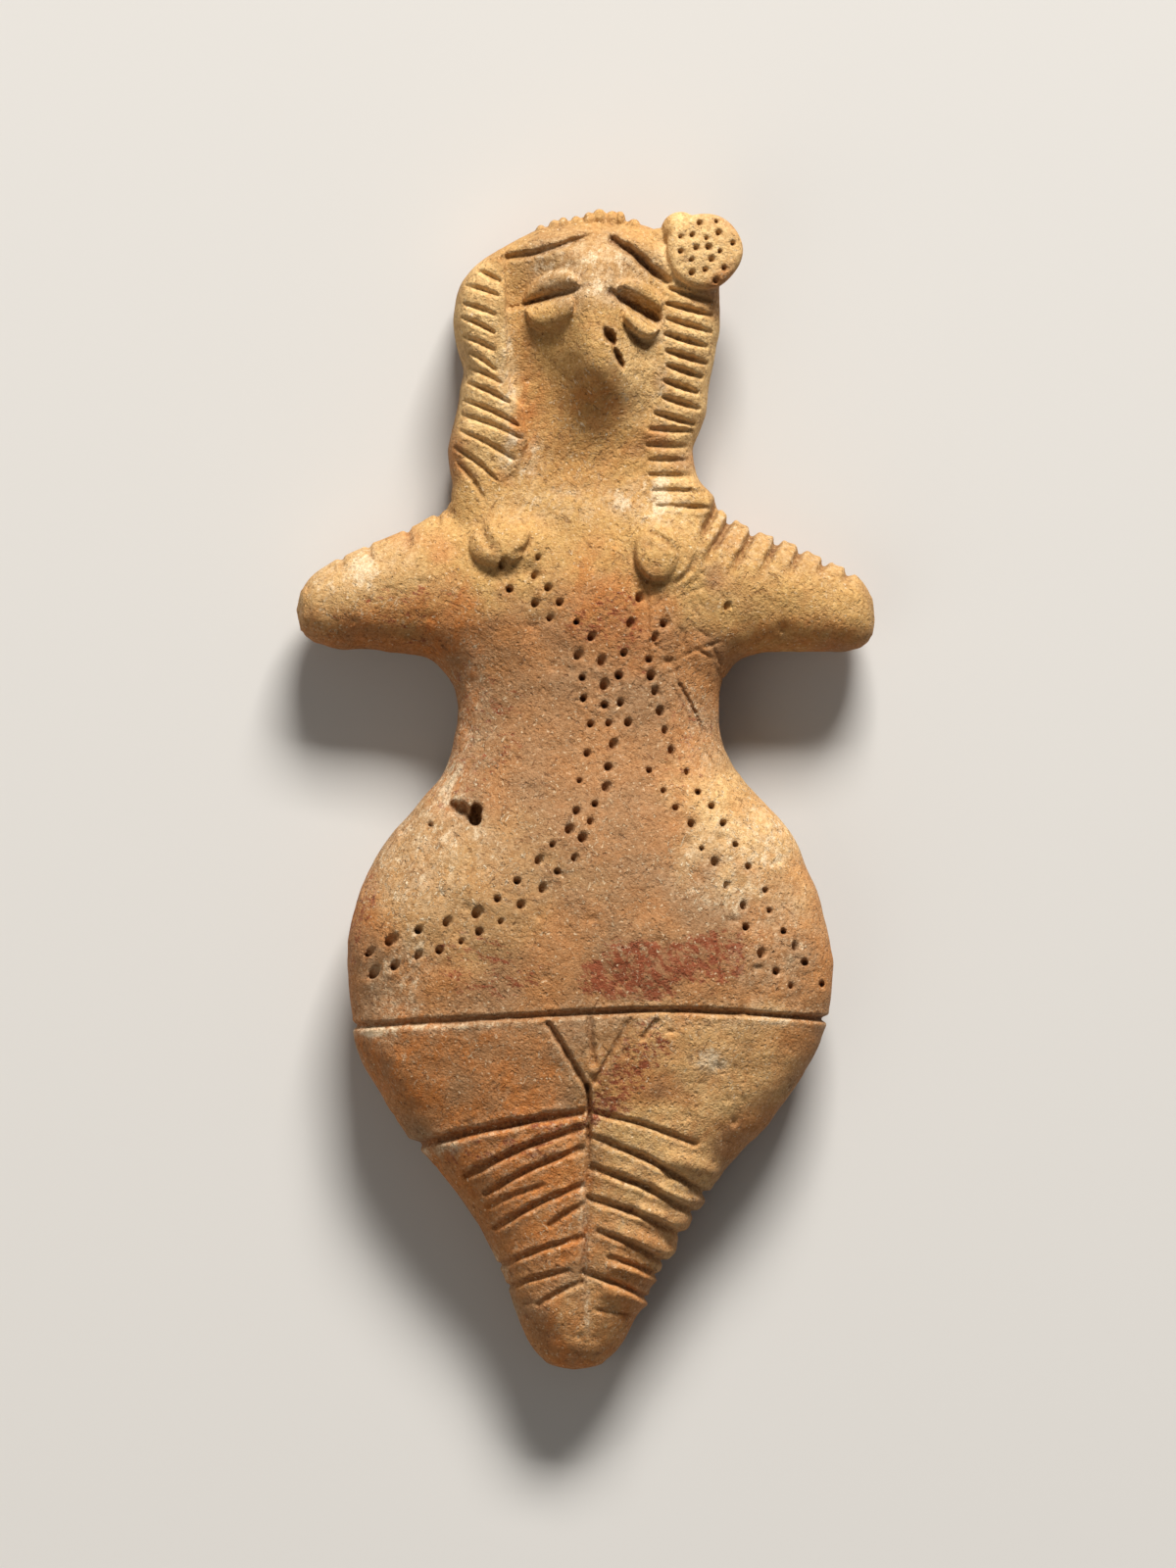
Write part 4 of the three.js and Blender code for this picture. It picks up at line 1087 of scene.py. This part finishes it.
# Pale flecks, dark scrapes, and specks of both.
flecks = strongest((
    (0.8, 4, 0.7, 0.31, (1.8, 18), 0.62, 0.67), (0.6, 4, 0.7, 0.37, (1.9, -52), 0.63, 0.68),
    (0.5, 3, 0.6, 0.61, (5, -28), 0.65, 0.7), (0.5, 3, 0.6, 0.67, (4, 40), 0.66, 0.7),
))
flecks = times(flecks, math_node("ADD", times(fleck_mask, 0.85), 0.08))
colour = mix(flecks, colour, CREAM)
scrapes = strongest((
    (0.7, 3, 0.6, 0.43, (3, 55), 0.63, 0.69), (0.6, 3, 0.6, 0.47, (3.5, -35), 0.65, 0.7),
))
colour = mix(times(scrapes, 0.42), colour, DARK)
specks = times(ramp(noise(0.42, 2, 0.5, 0.2), 0.63, 0.71), ramp(medium, 0.35, 0.6, 0.4, 1))
colour = mix(times(specks, 0.7), colour, CREAM)
dark_specks = ramp(noise(0.5, 2, 0.5, 0.24), 0.65, 0.74)
colour = mix(times(dark_specks, 0.5), colour, DARK)
# The grain of the clay.
colour = mix(ramp(fine, 0.36, 0.64, 0.0, 0.8), colour, mix(1.0, colour, SHADED, "MULTIPLY"))
colour = mix(ramp(grit, 0.38, 0.62, 0.0, 0.7), colour, mix(1.0, colour, LIT, "MULTIPLY"))

# Relief too small for the skin: (height, size in millimetres, strength), from the broadest up.
PORE_SPACING = 0.9
sockets = {"Vector": coordinates, "Scale": 1 / (PORE_SPACING * MM)}
cells = node("ShaderNodeTexVoronoi", sockets, feature="F1")
pores = ramp(cells.outputs["Distance"], 0.12, 0.32)
patchy = ramp(noise(5, 3, 0.6, 0.51), 0.35, 0.65, 0.35, 1.0)
BUMPS = (
    (medium, 0.42, 0.9), (brush, 0.26, 0.9), (times(fine, patchy), 0.2, 1.0), (pores, 0.12, 0.7),
    (times(scrapes, patchy), -0.12, 1.0), (flecks, 0.1, 1.0), (grit, 0.14, 1.0),
)
normal = None
for height, distance_mm, strength in BUMPS:
    normal = bump(height, distance_mm, strength, normal)

roughness = ramp(medium, 0.3, 0.7, 0.72, 0.92)
sockets = {"Base Color": colour, "Specular IOR Level": 0.28, "Roughness": roughness, "Normal": normal}
shader = node("ShaderNodeBsdfPrincipled", sockets)
node("ShaderNodeOutputMaterial", {"Surface": shader.outputs["BSDF"]})
mesh.materials.append(material)

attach(figurine, "root")
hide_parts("figurine")

# ---- Floor, light and camera ----

FLOOR_HALF = 1.6
floor_mesh = bpy.data.meshes.new("floor")
corners = [(x * FLOOR_HALF, y * FLOOR_HALF, 0) for x, y in ((-1, -1), (1, -1), (1, 1), (-1, 1))]
floor_mesh.from_pydata(corners, [], [(0, 1, 2, 3)])
floor = bpy.data.objects.new("floor", floor_mesh)
bpy.context.collection.objects.link(floor)
PAPER = (0.62, 0.61, 0.59, 1)
paper = bpy.data.materials.new("paper_floor")
paper.use_nodes = True
sheet = paper.node_tree.nodes["Principled BSDF"]
sheet.inputs["Base Color"].default_value = PAPER
sheet.inputs["Roughness"].default_value = 0.95
floor_mesh.materials.append(paper)

# Lights: name, place, width and height, watts and tint. Both aim at the middle of the figurine.
AIM = (0, 0, 0.01)
LIGHTS = (
    ("key", (0.33, 1.72, 1.11), (0.85, 0.46), 83, (1.0, 0.965, 0.92)),
    ("fill", (-0.5, -0.35, 0.6), (0.7, 0.7), 1.2, (1.0, 0.89, 0.76)),
)
for name, spot, size, power, tint in LIGHTS:
    data = bpy.data.lights.new(name, "AREA")
    data.shape = "RECTANGLE"
    data.size, data.size_y = size
    data.energy = power
    data.color = tint
    lamp = bpy.data.objects.new(name, data)
    bpy.context.collection.objects.link(lamp)
    lamp.location = spot
    direction = np.array(AIM) - np.array(spot)
    lamp.rotation_euler = Vector(direction).to_track_quat("-Z", "Y").to_euler()

world = bpy.data.worlds.new("studio")
world.use_nodes = True
background = world.node_tree.nodes["Background"]
background.inputs["Color"].default_value = (1, 1, 1, 1)
background.inputs["Strength"].default_value = 0.12
bpy.context.scene.world = world

# The figurine takes up this share of the height of the frame, seen from straight above.
LENGTH_SHARE = 0.7406
FRAME_HEIGHT = LENGTH / LENGTH_SHARE
CAMERA_HEIGHT = 2.2
CAMERA_SHIFT = (0.3 * UNIT, 0.7 * UNIT)
SENSOR = 36.0
camera_data = bpy.data.cameras.new("camera")
camera_data.sensor_fit = "VERTICAL"
camera_data.sensor_height = SENSOR
camera_data.lens = SENSOR * CAMERA_HEIGHT / FRAME_HEIGHT
camera_data.clip_start = 0.05
camera = bpy.data.objects.new("camera", camera_data)
bpy.context.collection.objects.link(camera)
camera.location = (box_middle[0] + CAMERA_SHIFT[0], box_middle[1] + CAMERA_SHIFT[1], CAMERA_HEIGHT + AIM[2])
bpy.context.scene.camera = camera
bpy.context.scene.view_settings.view_transform = "Standard"
